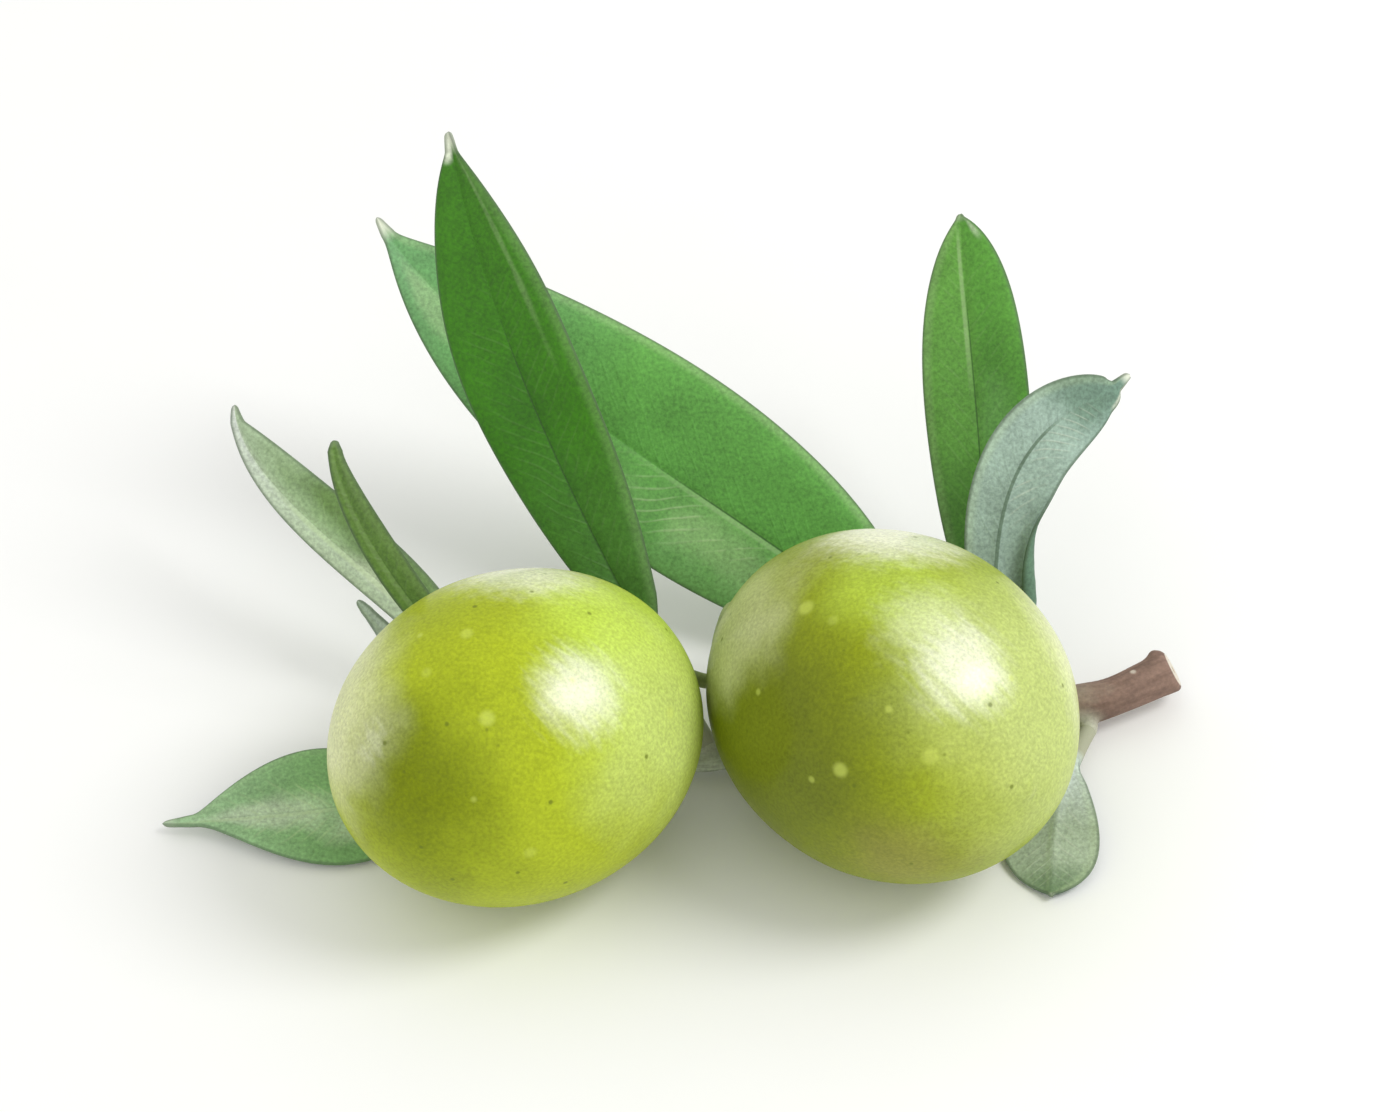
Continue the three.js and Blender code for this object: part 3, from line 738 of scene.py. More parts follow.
class Nodes:
    """Adds nodes to one tree. Inputs are numbers, colours or other nodes' outputs."""

    def __init__(self, tree):
        self.tree = tree
        self.count = 0

    def add(self, kind, inputs=(), **settings):
        node = self.tree.nodes.new(kind)
        node.location = (200 * (self.count // 4), -220 * (self.count % 4))
        self.count += 1
        for name, value in settings.items():
            setattr(node, name, value)
        for socket, value in dict(inputs).items():
            self.feed(node.inputs[socket], value)
        return node

    def feed(self, socket, value):
        if isinstance(value, bpy.types.NodeSocket):
            self.tree.links.new(value, socket)
        elif socket.type == "RGBA":
            socket.default_value = (*value, 1)
        else:
            socket.default_value = value

    def math(self, operation, *values):
        return self.add("ShaderNodeMath", dict(enumerate(values)), operation=operation).outputs[0]

    def times(self, value, *factors):
        for factor in factors:
            value = self.math("MULTIPLY", value, factor)
        return value

    def plus(self, value, *others):
        for other in others:
            value = self.math("ADD", value, other)
        return value

    def vector(self, operation, *values):
        node = self.add("ShaderNodeVectorMath", dict(enumerate(values)), operation=operation)
        scalar = operation in ("DOT_PRODUCT", "LENGTH", "DISTANCE")
        return node.outputs["Value" if scalar else "Vector"]

    def mix(self, factor, a, b, blend="MIX"):
        inputs = {0: factor, 6: a, 7: b}
        node = self.add("ShaderNodeMix", inputs, data_type="RGBA", blend_type=blend)
        return node.outputs[2]

    def span(self, value, low, high, out_low=0.0, out_high=1.0, smooth=False):
        """Maps low..high to out_low..out_high, clamped."""
        inputs = {"Value": value, "From Min": low, "From Max": high, "To Min": out_low, "To Max": out_high}
        kind = "SMOOTHSTEP" if smooth else "LINEAR"
        return self.add("ShaderNodeMapRange", inputs, interpolation_type=kind).outputs[0]

    def swing(self, noise_value, low, high):
        """Spreads noise, which keeps mostly to 0.3..0.7, over low..high."""
        return self.span(noise_value, 0.3, 0.7, low, high)

    def fade(self, value, full, gone, strength=1.0):
        """Mask that is full up to one value, and softly gone at another."""
        return self.span(value, full, gone, strength, 0, smooth=True)

    def between(self, value, limits, softness):
        """Mask that is full between two limits, and fades at both."""
        low, high = limits
        rise = self.span(value, low - softness, low + softness)
        return self.times(rise, self.span(value, high + softness, high - softness))

    def shaded(self, colour, factor):
        """A colour made darker or lighter by a factor that changes over the surface."""
        grey = self.add("ShaderNodeCombineColor", dict.fromkeys(range(3), factor)).outputs[0]
        return self.mix(1.0, colour, grey, "MULTIPLY")

    def parts(self, vector):
        return self.add("ShaderNodeSeparateXYZ", {0: vector}).outputs

    def noise(self, vector, scale, detail=2.0, roughness=0.5):
        inputs = {"Vector": vector, "Scale": scale, "Detail": detail, "Roughness": roughness}
        return self.add("ShaderNodeTexNoise", inputs).outputs["Fac"]

    def object_place(self):
        return self.add("ShaderNodeTexCoord").outputs["Object"]

    def attribute(self, name):
        return self.add("ShaderNodeAttribute", attribute_name=name).outputs["Vector"]

    def specks(self, place, scale, channel, rarity, full, gone, strength):
        """Mask of round specks, in the few cells whose random colour passes the rarity."""
        cells = self.add("ShaderNodeTexVoronoi", {"Vector": place, "Scale": scale}).outputs
        few = self.math("GREATER_THAN", self.parts(cells["Color"])[channel], rarity)
        return self.times(self.fade(cells["Distance"], full, gone, strength), few)

    def group(self, tree, inputs):
        return self.add("ShaderNodeGroup", inputs, node_tree=tree).outputs


def shared_group(name, inputs):
    """Makes a node group, built once, of a function that returns its masks by their names."""
    def wrap(build):
        def group():
            tree = bpy.data.node_groups.get(name)
            if tree:
                return tree
            tree = bpy.data.node_groups.new(name, "ShaderNodeTree")
            for socket, default in inputs.items():
                kind = "NodeSocketFloat" if isinstance(default, float) else "NodeSocketVector"
                made = tree.interface.new_socket(socket, in_out="INPUT", socket_type=kind)
                made.default_value = default
            nodes = Nodes(tree)
            masks = build(nodes, nodes.add("NodeGroupInput").outputs)
            for socket in masks:
                tree.interface.new_socket(socket, in_out="OUTPUT", socket_type="NodeSocketFloat")
            nodes.add("NodeGroupOutput", masks)
            return tree
        return group
    return wrap


@shared_group(
    "Plant Grain", {"Clouding": 0.1, "Grain": 0.1, "Cloud Scale": 260.0, "Grain Scale": 4200.0}
)
def grain_group(nodes, given):
    """Broad clouding and fine grain, both about 1, to multiply a colour by."""
    place = nodes.object_place()
    broad = nodes.noise(place, given["Cloud Scale"], 3, 0.55)
    fine = nodes.noise(place, given["Grain Scale"], 2, 0.6)
    clouding = nodes.times(nodes.swing(broad, -1, 1), given["Clouding"])
    grain = nodes.times(nodes.swing(fine, -1, 1), given["Grain"])
    return {"Factor": nodes.plus(1.0, clouding, grain), "Fine": fine, "Broad": broad}


@shared_group("Leaf Veins", {"Spacing": 1.1})
def vein_group(nodes, given):
    """Masks of a leaf's midrib, side veins and margin, and of its painted highlights, from its blade and
    ruler attributes.
    """
    across, along, _upper = nodes.parts(nodes.attribute("blade"))
    reach, run, margin = nodes.parts(nodes.attribute("ruler"))
    place = nodes.object_place()
    wander = nodes.span(nodes.noise(place, 300, 1), 0.25, 0.75, -0.22, 0.22)
    reach_out = nodes.math("ABSOLUTE", reach)
    beside = nodes.math("ABSOLUTE", nodes.plus(reach, 0.24))
    width = nodes.span(along, 0.0, 1.0, 1.0, 0.45)
    lean = nodes.times(reach_out, 1.1)
    side_shift = nodes.times(nodes.math("GREATER_THAN", across, 0.0), 0.43)
    steps = nodes.math("DIVIDE", nodes.math("SUBTRACT", run, lean), given["Spacing"])
    phase = nodes.plus(steps, wander, side_shift)
    line = nodes.fade(nodes.math("PINGPONG", phase, 0.5), 0.02, 0.16)
    inner = nodes.fade(nodes.math("ABSOLUTE", across), 0.4, 0.95)
    broken = nodes.span(nodes.noise(place, 520, 2), 0.38, 0.56)
    on_blade = nodes.span(along, 0.0, 0.05)
    return {
        # Streak is a painted highlight beside the midrib, Crease its dark line, partly painted shade in the
        # groove, and Strip a painted highlight inside the margin.
        "Streak": nodes.fade(nodes.math("DIVIDE", beside, width), 0.1, 0.34),
        "Crease": nodes.fade(nodes.math("DIVIDE", reach_out, width), 0.05, 0.15),
        "Veins": nodes.times(line, inner, broken),
        "Margin": nodes.times(nodes.fade(margin, 0.06, 0.26), on_blade),
        "Strip": nodes.fade(margin, 0.35, 0.9),
    }


@shared_group("Leaf Wash", {"Along": 0.5, "Across": 0.0, "Along Reach": 0.2, "Across Reach": 0.4})
def wash_group(nodes, given):
    """Mask of a soft oval on a leaf blade."""
    across, along, _upper = nodes.parts(nodes.attribute("blade"))
    wander = nodes.swing(nodes.noise(nodes.object_place(), 330, 3), -0.25, 0.25)
    off_along = nodes.math("DIVIDE", nodes.math("SUBTRACT", along, given["Along"]), given["Along Reach"])
    off_across = nodes.math("DIVIDE", nodes.math("SUBTRACT", across, given["Across"]), given["Across Reach"])
    off = nodes.add("ShaderNodeCombineXYZ", {0: off_along, 1: off_across}).outputs[0]
    return {"Mask": nodes.fade(nodes.plus(nodes.vector("LENGTH", off), wander), 0.2, 1.1)}


@shared_group("Round Spot", {"Place": (0, 0, 0), "Radius": 0.0005})
def spot_group(nodes, given):
    """Mask of one soft round spot at a place."""
    away = nodes.vector("DISTANCE", nodes.object_place(), given["Place"])
    return {"Mask": nodes.fade(nodes.math("DIVIDE", away, given["Radius"]), 0.35, 1.0)}


@shared_group("Wax Rubs", {"Swing": 5.0})
def highlight_streak_group(nodes, given):
    """Degrees by which slanting streaks shift the edge of a painted highlight or reflection patch."""
    place = nodes.object_place()
    slant = nodes.times(nodes.vector("DOT_PRODUCT", place, (0.707, -0.5, -0.5)), 0.12)
    across = nodes.vector("DOT_PRODUCT", place, (0.707, 0.5, 0.5))
    out = nodes.vector("DOT_PRODUCT", place, (0.0, 0.707, -0.707))
    stretched = nodes.add("ShaderNodeCombineXYZ", {0: slant, 1: across, 2: out}).outputs[0]
    streaks = nodes.swing(nodes.noise(stretched, 1800, 2, 0.5), -1, 1)
    return {"Shift": nodes.times(streaks, given["Swing"])}


# ---- Materials ----------------------------------------------------------------------------

def new_material(name):
    material = bpy.data.materials.new(name)
    material.use_nodes = True
    tree = material.node_tree
    tree.nodes.clear()
    nodes = Nodes(tree)
    shader = nodes.add("ShaderNodeBsdfPrincipled")
    output = nodes.add("ShaderNodeOutputMaterial", {"Surface": shader.outputs[0]})
    output.location = (2400, 0)
    shader.location = (2100, 0)
    return material, nodes, shader


def scaled(colour, factors):
    return tuple(clamp(c * f) for c, f in zip(colour, factors))


def coat(nodes, shader, colour, roughness, specular, height, strength, depth):
    """Feeds the shader its colour and gloss, and a bump of a strength and a depth in metres."""
    nodes.feed(shader.inputs["Base Color"], colour)
    nodes.feed(shader.inputs["Roughness"], roughness)
    nodes.feed(shader.inputs["Specular IOR Level"], specular)
    bump = nodes.add("ShaderNodeBump", {"Height": height, "Strength": strength, "Distance": depth})
    nodes.feed(shader.inputs["Normal"], bump.outputs[0])


def leaf_material(leaf, settings):
    """Leathery green above, silvery below, with veins, margin, petiole and dry point, and painted highlights
    and shade along the midrib and a margin.
    """
    material, nodes, shader = new_material(leaf["piece"])
    across, along, upper = nodes.parts(nodes.attribute("blade"))
    veins = nodes.group(vein_group(), {"Spacing": settings.vein_spacing / MM})
    grain = nodes.group(grain_group(), {"Clouding": 0.12, "Grain": 0.22})
    silver_leaf = leaf["slot"] == "leaf_silver"
    main = tuple(getattr(settings, leaf["piece"]))
    shown = nodes.mix(nodes.span(along, 0.42, 0.0), main, scaled(main, leaf["base_shade"]))
    shown = nodes.mix(nodes.span(along, 0.6, 1.0), shown, scaled(main, leaf["tip_shade"]))
    shown = nodes.mix(nodes.span(across, 0.05, -0.25), shown, leaf["left_shade"], "MULTIPLY")
    shown = nodes.mix(nodes.span(across, -0.05, 0.25), shown, leaf["right_shade"], "MULTIPLY")
    for *oval, paint, strength in leaf["washes"]:
        inputs = dict(zip(("Along", "Across", "Along Reach", "Across Reach"), oval))
        mask = nodes.group(wash_group(), inputs)["Mask"]
        shown = nodes.mix(nodes.times(mask, strength), shown, getattr(settings, paint))
    # A painted highlight in a strip inside one margin.
    side, light = leaf["edge_highlight"]
    on_side = nodes.span(nodes.times(across, side), 0.3, 0.5)
    shown = nodes.mix(nodes.times(veins["Strip"], on_side, light), shown, settings.pale_vein_and_highlight)
    other = settings.hidden_green if silver_leaf else settings.silver
    top, under = (other, shown) if silver_leaf else (shown, other)
    on_top = nodes.span(upper, 0.45, 0.55)
    colour = nodes.shaded(nodes.mix(on_top, under, top), grain["Factor"])
    in_across = nodes.between(across, leaf["vein_zone"][:2], 0.15)
    in_along = nodes.between(along, leaf["vein_zone"][2:], 0.06)
    vein_share = nodes.times(veins["Veins"], in_across, in_along, leaf["veins"])
    colour = nodes.mix(vein_share, colour, settings.tip if silver_leaf else settings.pale_vein_and_highlight)
    # A painted highlight beside the midrib, and its dark crease, partly painted shade in the groove.
    for line, paint in (("streak", settings.pale_vein_and_highlight), ("crease", settings.dark_midrib_and_shade)):
        zone = nodes.between(along, leaf[line + "_zone"], 0.06)
        colour = nodes.mix(nodes.times(veins[line.title()], zone, leaf[line]), colour, paint)
    pale = nodes.times(nodes.span(along, 0.95, 0.985, smooth=True), leaf["tip_pale"])
    colour = nodes.mix(pale, colour, settings.tip)
    colour = nodes.mix(nodes.times(veins["Margin"], 0.6), colour, settings.margin)
    colour = nodes.mix(nodes.span(along, 0.03, -0.02), colour, settings.petiole)
    roughness = nodes.plus(nodes.span(on_top, 0, 1, 0.75, 0.55), nodes.swing(grain["Fine"], -0.06, 0.06))
    height = nodes.plus(veins["Veins"], nodes.times(grain["Fine"], 0.6))
    coat(nodes, shader, colour, roughness, 0.3, height, 0.3, 0.05 * MM)
    return material


def fruit_material(fruit, settings):
    """Waxy olive skin: soft patches of green, of painted light, shade and reflections, and of painted
    highlights, with pale lenticels and dark flecks.
    """
    material, nodes, shader = new_material(fruit["piece"])
    place = nodes.object_place()
    outward = nodes.vector("SUBTRACT", place, placed(fruit["centre"]) * MM)
    outward = nodes.vector("NORMALIZE", outward)
    wander = nodes.span(nodes.noise(place, 170, 3, 0.5), 0.25, 0.75, -9, 9)
    highlight_streaks = nodes.group(highlight_streak_group(), {"Swing": 2.5})["Shift"]
    grain = nodes.group(grain_group(), {"Clouding": 0.07, "Grain": 0.16, "Cloud Scale": 200.0})

    def with_spots(mask, spots):
        for direction, size, strength in spots:
            inputs = {"Place": surface_place(fruit, direction) * MM, "Radius": size * MM}
            spot = nodes.times(nodes.group(spot_group(), inputs)["Mask"], strength)
            mask = nodes.math("MAXIMUM", mask, spot)
        return mask

    colour = getattr(settings, fruit["skin"])
    polish = 0.0
    # Each patch mixes in the skin's own colour, or painted light, shade, reflection or highlight.
    for direction, full, gone, paint, strength, streaked in fruit["patches"]:
        toward = nodes.vector("DOT_PRODUCT", outward, Vector(direction).normalized())
        away = nodes.math("DEGREES", nodes.math("ARCCOSINE", toward))
        share = nodes.fade(nodes.plus(away, highlight_streaks if streaked else wander), full, gone, strength)
        colour = nodes.mix(share, colour, getattr(settings, paint))
        if streaked:
            polish = nodes.math("MAXIMUM", polish, share)
    colour = nodes.shaded(colour, grain["Factor"])
    lenticels = with_spots(nodes.specks(place, 330, 0, 0.55, 0.03, 0.11, 0.35), fruit["lenticels"])
    colour = nodes.mix(lenticels, colour, settings.lenticel)
    flecks = with_spots(nodes.specks(place, 700, 1, 0.82, 0.05, 0.16, 0.7), fruit["flecks"])
    colour = nodes.mix(flecks, colour, settings.fleck)
    height = nodes.plus(nodes.times(lenticels, 1.2), grain["Fine"])
    coat(nodes, shader, colour, nodes.swing(grain["Broad"], 0.5, 0.6), 0.06, height, 0.25, 0.04 * MM)
    wax = nodes.span(polish, 0, 0.5, settings.wax * 0.45, settings.wax)
    nodes.feed(shader.inputs["Coat Weight"], wax)
    shader.inputs["Coat Roughness"].default_value = 0.2
    shader.inputs["Subsurface Weight"].default_value = 0.12
    shader.inputs["Subsurface Radius"].default_value = (0.8, 1.0, 0.3)
    shader.inputs["Subsurface Scale"].default_value = 2 * MM
    return material


def twig_material(settings):
    """Grey-brown bark, greener towards the growing tip, with furrows, specks and cut wood."""
    material, nodes, shader = new_material("twig_bark")
    place = nodes.object_place()
    around = nodes.attribute("stem")
    run = nodes.parts(around)[2]
    fresh, depth, _spare = nodes.parts(nodes.attribute("growth"))
    grain = nodes.group(grain_group(), {"Clouding": 0.14, "Grain": 0.14, "Cloud Scale": 500.0})
    streak = nodes.noise(nodes.vector("MULTIPLY", around, (1.0, 1.0, 0.12)), 2.6, 4, 0.6)
    aged = nodes.plus(run, nodes.swing(grain["Broad"], -2.5, 2.5))
    colour = nodes.mix(nodes.span(aged, 5.0, 27.0), settings.bark, settings.young_bark)
    colour = nodes.mix(nodes.span(streak, 0.56, 0.36, 0, 0.3), colour, settings.furrow)
    colour = nodes.mix(nodes.span(depth, 0.0, 1.0, 0.0, 0.4), colour, settings.furrow)
    colour = nodes.mix(nodes.specks(place, 650, 0, 0.7, 0.08, 0.2, 0.6), colour, settings.wood)
    colour = nodes.mix(nodes.times(fresh, 0.85), colour, settings.petiole_bark)
    colour = nodes.shaded(colour, grain["Factor"])
    middle, facing = cut_face(twig_path())
    off_middle = nodes.vector("SUBTRACT", place, middle * MM)
    ahead = nodes.vector("DOT_PRODUCT", off_middle, facing)
    from_pith = nodes.math("DIVIDE", nodes.vector("LENGTH", off_middle), TWIG_CUT_RADIUS * MM)
    rings = nodes.span(nodes.math("PINGPONG", from_pith, 0.13), 0.0, 0.13, 0.82, 1.0)
    wood = nodes.shaded(settings.wood, rings)
    wood = nodes.mix(nodes.fade(from_pith, 0.12, 0.24), wood, settings.pith)
    wood = nodes.mix(nodes.span(from_pith, 0.86, 0.96), wood, settings.bark)
    colour = nodes.mix(nodes.span(ahead, -0.04 * MM, -0.01 * MM), colour, wood)
    height = nodes.plus(streak, nodes.times(grain["Fine"], 0.4))
    coat(nodes, shader, colour, nodes.swing(grain["Fine"], 0.74, 0.9), 0.25, height, 0.5, 0.06 * MM)
    return material


def stalk_material(settings):
    """Smooth green stalk with pale specks, browner at the dry calyxes."""
    material, nodes, shader = new_material("fruit_stalk_skin")
    dryness = nodes.parts(nodes.attribute("stem"))[0]
    grain = nodes.group(grain_group(), {"Clouding": 0.14, "Grain": 0.12, "Cloud Scale": 600.0})
    colour = nodes.mix(dryness, settings.stalk, settings.calyx)
    specks = nodes.specks(nodes.object_place(), 1100, 0, 0.6, 0.06, 0.18, 0.5)
    colour = nodes.shaded(nodes.mix(specks, colour, settings.wood), grain["Factor"])
    fine = grain["Fine"]
    coat(nodes, shader, colour, nodes.swing(fine, 0.5, 0.64), 0.5, fine, 0.3, 0.05 * MM)
    return material


# ---- Leaves -------------------------------------------------------------------------------

def half_width(half, point, share, length):
    """Half width of the blade at a share of its length, with the small point at its tip."""
    widest, base_fill, tip_fill = half
    point_length, point_start, point_end = point
    body_end = 1 - point_length / length
    body = min(share / body_end, 1)
    widest_at = base_fill / (base_fill + tip_fill)
    rise = (body / widest_at) ** base_fill
    fall = ((1 - body) / (1 - widest_at)) ** tip_fill
    along_point = clamp((share - body_end) / (1 - body_end))
    narrow = lerp(point_start, point_end, along_point)
    return math.hypot(widest * rise * fall, narrow * min(share / POINT_FADE, 1))


def half_shape(leaf, side, share, length):
    """How wide one half of the blade is, and how it rolls, at a share of its length."""
    half = half_width(leaf["left"] if side < 0 else leaf["right"], leaf["point"], share, length)
    furl = leaf["furl"] if side < 0 else None
    if not furl:
        return half, leaf["roll"], ROLL_START, ROLL_POWER
    furled = 1 - smoothstep(share, *furl["until"])
    at_base = 1 - smoothstep(share, 0, furl["base_until"])
    return (
        half * (1 + furl["extra"] * furled + furl["base_extra"] * at_base),
        lerp(leaf["roll"], furl["roll"], furled),
        lerp(ROLL_START, furl["start"], furled),
        lerp(ROLL_POWER, furl["power"], furled),
    )


def section_point(reach, fold, shape):
    """How far out and up a point of the section lies, and the tilt there."""
    half, roll, start, power = shape
    slice_length = half * reach / SECTION_SLICES

    def tilt_at(along):
        return fold + roll * max(0.0, (along - start) / (1 - start)) ** power

    out = 0.0
    up = 0.0
    for i in range(SECTION_SLICES):
        tilt = tilt_at(reach * (i + 0.5) / SECTION_SLICES)
        out += slice_length * math.cos(tilt)
        up += slice_length * math.sin(tilt)
    return out, up, tilt_at(reach)


class LeafRow:
    """One cross-section of a leaf: its axes, and the shape of both halves."""

    def __init__(self, leaf, midrib, length, along):
        self.leaf = leaf
        self.run = along * length
        self.share = (along - leaf["petiole"]) / (1 - leaf["petiole"])
        self.blade_share = clamp(self.share)
        inside = clamp(along)
        low = min(inside, 1 - MIDRIB_STEP)
        forward = (midrib(low + MIDRIB_STEP) - midrib(low)).normalized()
        self.middle = midrib(inside) + forward * min(along, 0.0) * length
        up = Vector(leaf["upper_side"][0]).lerp(Vector(leaf["upper_side"][1]), inside)
        self.up = (up - forward * up.dot(forward)).normalized()
        self.right = forward.cross(self.up)
        self.bladeness = smoothstep(self.blade_share, 0, PETIOLE_FADE)
        self.halves = {side: half_shape(leaf, side, self.blade_share, length) for side in (-1, 1)}
        to_tip = (1 - along) * length
        self.tip_round = math.sqrt(max(0.0, 1 - max(0.0, 1 - to_tip / POINT_ROUNDING) ** 2))
        self.sections = {}

    def section(self, across):
        """Out, up and tilt of the middle surface, kept because both faces share it."""
        key = round(across, 6)
        if key not in self.sections:
            side = -1 if across < 0 else 1
            out, up, tilt = section_point(abs(across), self.leaf["fold"], self.halves[side])
            phase = 2 * math.pi * self.leaf["waves"] * self.blade_share
            phase += 0 if side < 0 else WAVE_OFFSET_RIGHT
            up += self.leaf["wave"] * across * across * math.sin(phase)
            self.sections[key] = (side, out, up, tilt)
        return self.sections[key]

    def point(self, across, face, sizes):
        """A point of the upper face (1) or the underside (-1), in millimetres from the base."""
        side, out, up, tilt = self.section(across)
        reach = abs(across) * self.halves[side][0]
        surface = self.middle + self.right * (side * out * self.tip_round)
        surface += self.up * (up * self.tip_round)
        facing = self.up * math.cos(tilt) - self.right * (side * math.sin(tilt))
        fullness = math.sqrt(max(0.0, 1 - abs(across) ** MARGIN_FULLNESS))
        offset = face * sizes["blade_thickness"] / 2 * fullness * self.tip_round
        fade = self.bladeness * self.tip_round
        if face > 0:
            offset -= sizes["groove_depth"] * fade * math.exp(-(reach / GROOVE_WIDTH) ** 2)
        else:
            ridge = sizes["ridge_height"] * lerp(1, RIDGE_LEFT_AT_TIP, self.blade_share)
            offset -= ridge * fade * math.exp(-(reach / RIDGE_WIDTH) ** 2)
        quilt = 2 * math.pi * (self.run - QUILT_LEAN * reach) / sizes["vein_spacing"]
        quilt += 0 if side < 0 else QUILT_OFFSET_RIGHT
        window = math.sin(math.pi * abs(across)) ** 2
        offset += sizes["quilting"] * fade * window * math.cos(quilt)
        angle = across * math.pi / 2
        radius = self.leaf["stem_radius"]
        stem = self.middle + self.right * (radius * math.sin(angle))
        stem += self.up * (face * radius * math.cos(angle))
        return stem.lerp(surface + facing * offset, self.bladeness)


def leaf_skin(leaf, settings):
    """One leaf: petiole, blade with grooved midrib and quilted halves, and its point."""
    curve = bezier([Vector((0, 0, 0)), *(Vector(point) for point in leaf["midrib"])])
    hook = Vector(leaf["hook"])

    def midrib(share):
        return curve(share) + hook * smoothstep(share, HOOK_START, 1) ** 2

    length = Path(midrib).length
    rows = max(FEWEST_BLADE_ROWS, round(length / BLADE_ROW_SPACING))
    lengths = ("blade_thickness", "groove_depth", "ridge_height", "quilting", "vein_spacing")
    sizes = {name: getattr(settings, name) / MM for name in lengths}
    skin = bmesh.new()
    blade = skin.verts.layers.float_vector.new("blade")
    ruler = skin.verts.layers.float_vector.new("ruler")
    made = {}
    origin = placed(leaf["at"])

    def shape(turn, row_share, vert):
        row = round(row_share * rows)
        if row not in made:
            along = lerp(-PETIOLE_ROOT / length, 1, crowded(row_share, ROW_CROWDING))
            made[row] = LeafRow(leaf, midrib, length, along)
        section = made[row]
        face = 1 if turn <= 0.5 else -1
        across = crowded(4 * turn - 1 if turn <= 0.5 else 3 - 4 * turn, COLUMN_CROWDING)
        on_margin = abs(across) > MARGIN_FROM
        half = section.halves[-1 if across < 0 else 1][0]
        vert[blade] = (across, section.share, 0.5 if on_margin else (1 + face) / 2)
        vert[ruler] = (across * half, section.run, (1 - abs(across)) * half)
        return origin + section.point(across, face, sizes)

    wrapped_grid(skin, BLADE_COLUMNS, rows, shape)
    return skin


class SPRIG_OT_leaves(bpy.types.Operator):
    """Build the nine leaves"""

    bl_idname = "sprig.leaves"
    bl_label = "Leaves"

    def execute(self, context):
        settings = context.scene.sprig_leaves
        for node, leaf in LEAVES.items():
            skin = leaf_skin(leaf, settings)
            finish_piece(leaf["piece"], skin, leaf_material(leaf, settings), node, leaf["slot"])
        return {"FINISHED"}


# ---- Olives -------------------------------------------------------------------------------

def dent(radius, stalk_end):
    """How far the skin sinks at the stalk hollow, or at the ring round the tip's nipple."""
    if stalk_end:
        return STALK_HOLLOW_DEPTH * math.exp(-(radius / STALK_HOLLOW_RADIUS) ** 2)
    return TIP_NIPPLE_HEIGHT * math.exp(-(radius / TIP_NIPPLE_RADIUS) ** 2)


def surface_place(fruit, direction):
    """Where a direction from an olive's centre meets its skin, in millimetres."""
    axis = Vector(fruit["to_stalk"]).normalized()
    toward = Vector(direction).normalized()
    along = toward.dot(axis) / FRUIT_SLENDERNESS
    across = (toward - axis * toward.dot(axis)).length
    reach = fruit["diameter"] / 2 / math.hypot(along, across)
    return placed(fruit["centre"]) + toward * reach


def face_key(face):
    """A number made of a face's three lowest point numbers, which no other face shares.

    The sphere operator lists the same faces in another order on each run, and sorting them
    by this number settles it.
    """
    first, second, third = sorted(vert.index for vert in face.verts)[:3]
    return (first * POINT_NUMBER_BASE + second) * POINT_NUMBER_BASE + third


def olive_skin(fruit, unevenness):
    """A plump oval with a nipple and a stalk hollow, flattened where it rests on the table."""
    half = fruit["diameter"] / 2
    skin = bmesh.new()
    bmesh.ops.create_uvsphere(skin, u_segments=FRUIT_SIDES, v_segments=FRUIT_RINGS, radius=1.0)
    skin.verts.index_update()
    skin.faces.sort(key=face_key)
    turn = Vector((0, 0, 1)).rotation_difference(Vector(fruit["to_stalk"]))
    centre = placed(fruit["centre"])
    for vert in skin.verts:
        direction = vert.co.normalized()
        radius = half * math.hypot(direction.x, direction.y)
        height = half * FRUIT_SLENDERNESS * direction.z - dent(radius, direction.z > 0)
        hollowness = 0.5 - 0.5 * noise.noise(direction * UNEVENNESS_CLOSENESS + centre)
        swell = 1 - unevenness / half * hollowness
        local = Vector((direction.x * half * swell, direction.y * half * swell, height * swell))
        point = centre + turn @ local
        point.z = max(point.z, 0.0)
        vert.co = point
    return skin


class SPRIG_OT_olives(bpy.types.Operator):
    """Build both olives"""

    bl_idname = "sprig.olives"
    bl_label = "Olives"

    def execute(self, context):
        settings = context.scene.sprig_fruit
        for node, fruit in FRUIT.items():
            skin = olive_skin(fruit, settings.unevenness / MM)
            finish_piece(fruit["piece"], skin, fruit_material(fruit, settings), node, fruit["slot"])
        return {"FINISHED"}


# ---- Twig and fruit stalk -----------------------------------------------------------------

def twig_growths():
    """Where each leaf and the fruit stalk leave the twig, their direction and radius."""
    growths = []
    for leaf in LEAVES.values():
        direction = Vector(leaf["midrib"][0]).normalized()
        growths.append((placed(leaf["at"]), direction, leaf["stem_radius"]))
    direction = (Vector(STALK_FORK) - Vector(STALK_ROOT)).normalized()
    growths.append((placed(STALK_ROOT), direction, STALK_RADIUS))
    return growths


def twig_path():
    return through([placed(point) for point in TWIG_POINTS])


def cut_face(path):
    """Middle and facing of the slanting cut at the thick end of the twig."""
    facing = (CUT_SLANT - path.direction(0)).normalized()
    return path.at(0) + path.direction(0) * CUT_SETBACK, facing


def cut_twig(skin, path):
    """Cuts the thick end off on a slant and rounds the rim of its bark."""
    middle, facing = cut_face(path)
    parts = [*skin.verts, *skin.edges, *skin.faces]
    bmesh.ops.bisect_plane(skin, geom=parts, plane_co=middle, plane_no=facing, clear_outer=True)
    rim = [edge for edge in skin.edges if edge.is_boundary]
    cut = bmesh.ops.holes_fill(skin, edges=rim, sides=0)["faces"]
    for vert in skin.verts:
        ahead = (vert.co - middle).dot(facing)
        outward = vert.co - middle - facing * ahead
        short = clamp(1 + ahead / CUT_ROUNDING)
        inward = CUT_ROUNDING * (1 - math.sqrt(1 - short * short))
        vert.co -= outward.normalized() * inward
    bmesh.ops.inset_region(skin, faces=cut, thickness=CUT_INSET)
    bmesh.ops.recalc_face_normals(skin, faces=skin.faces)


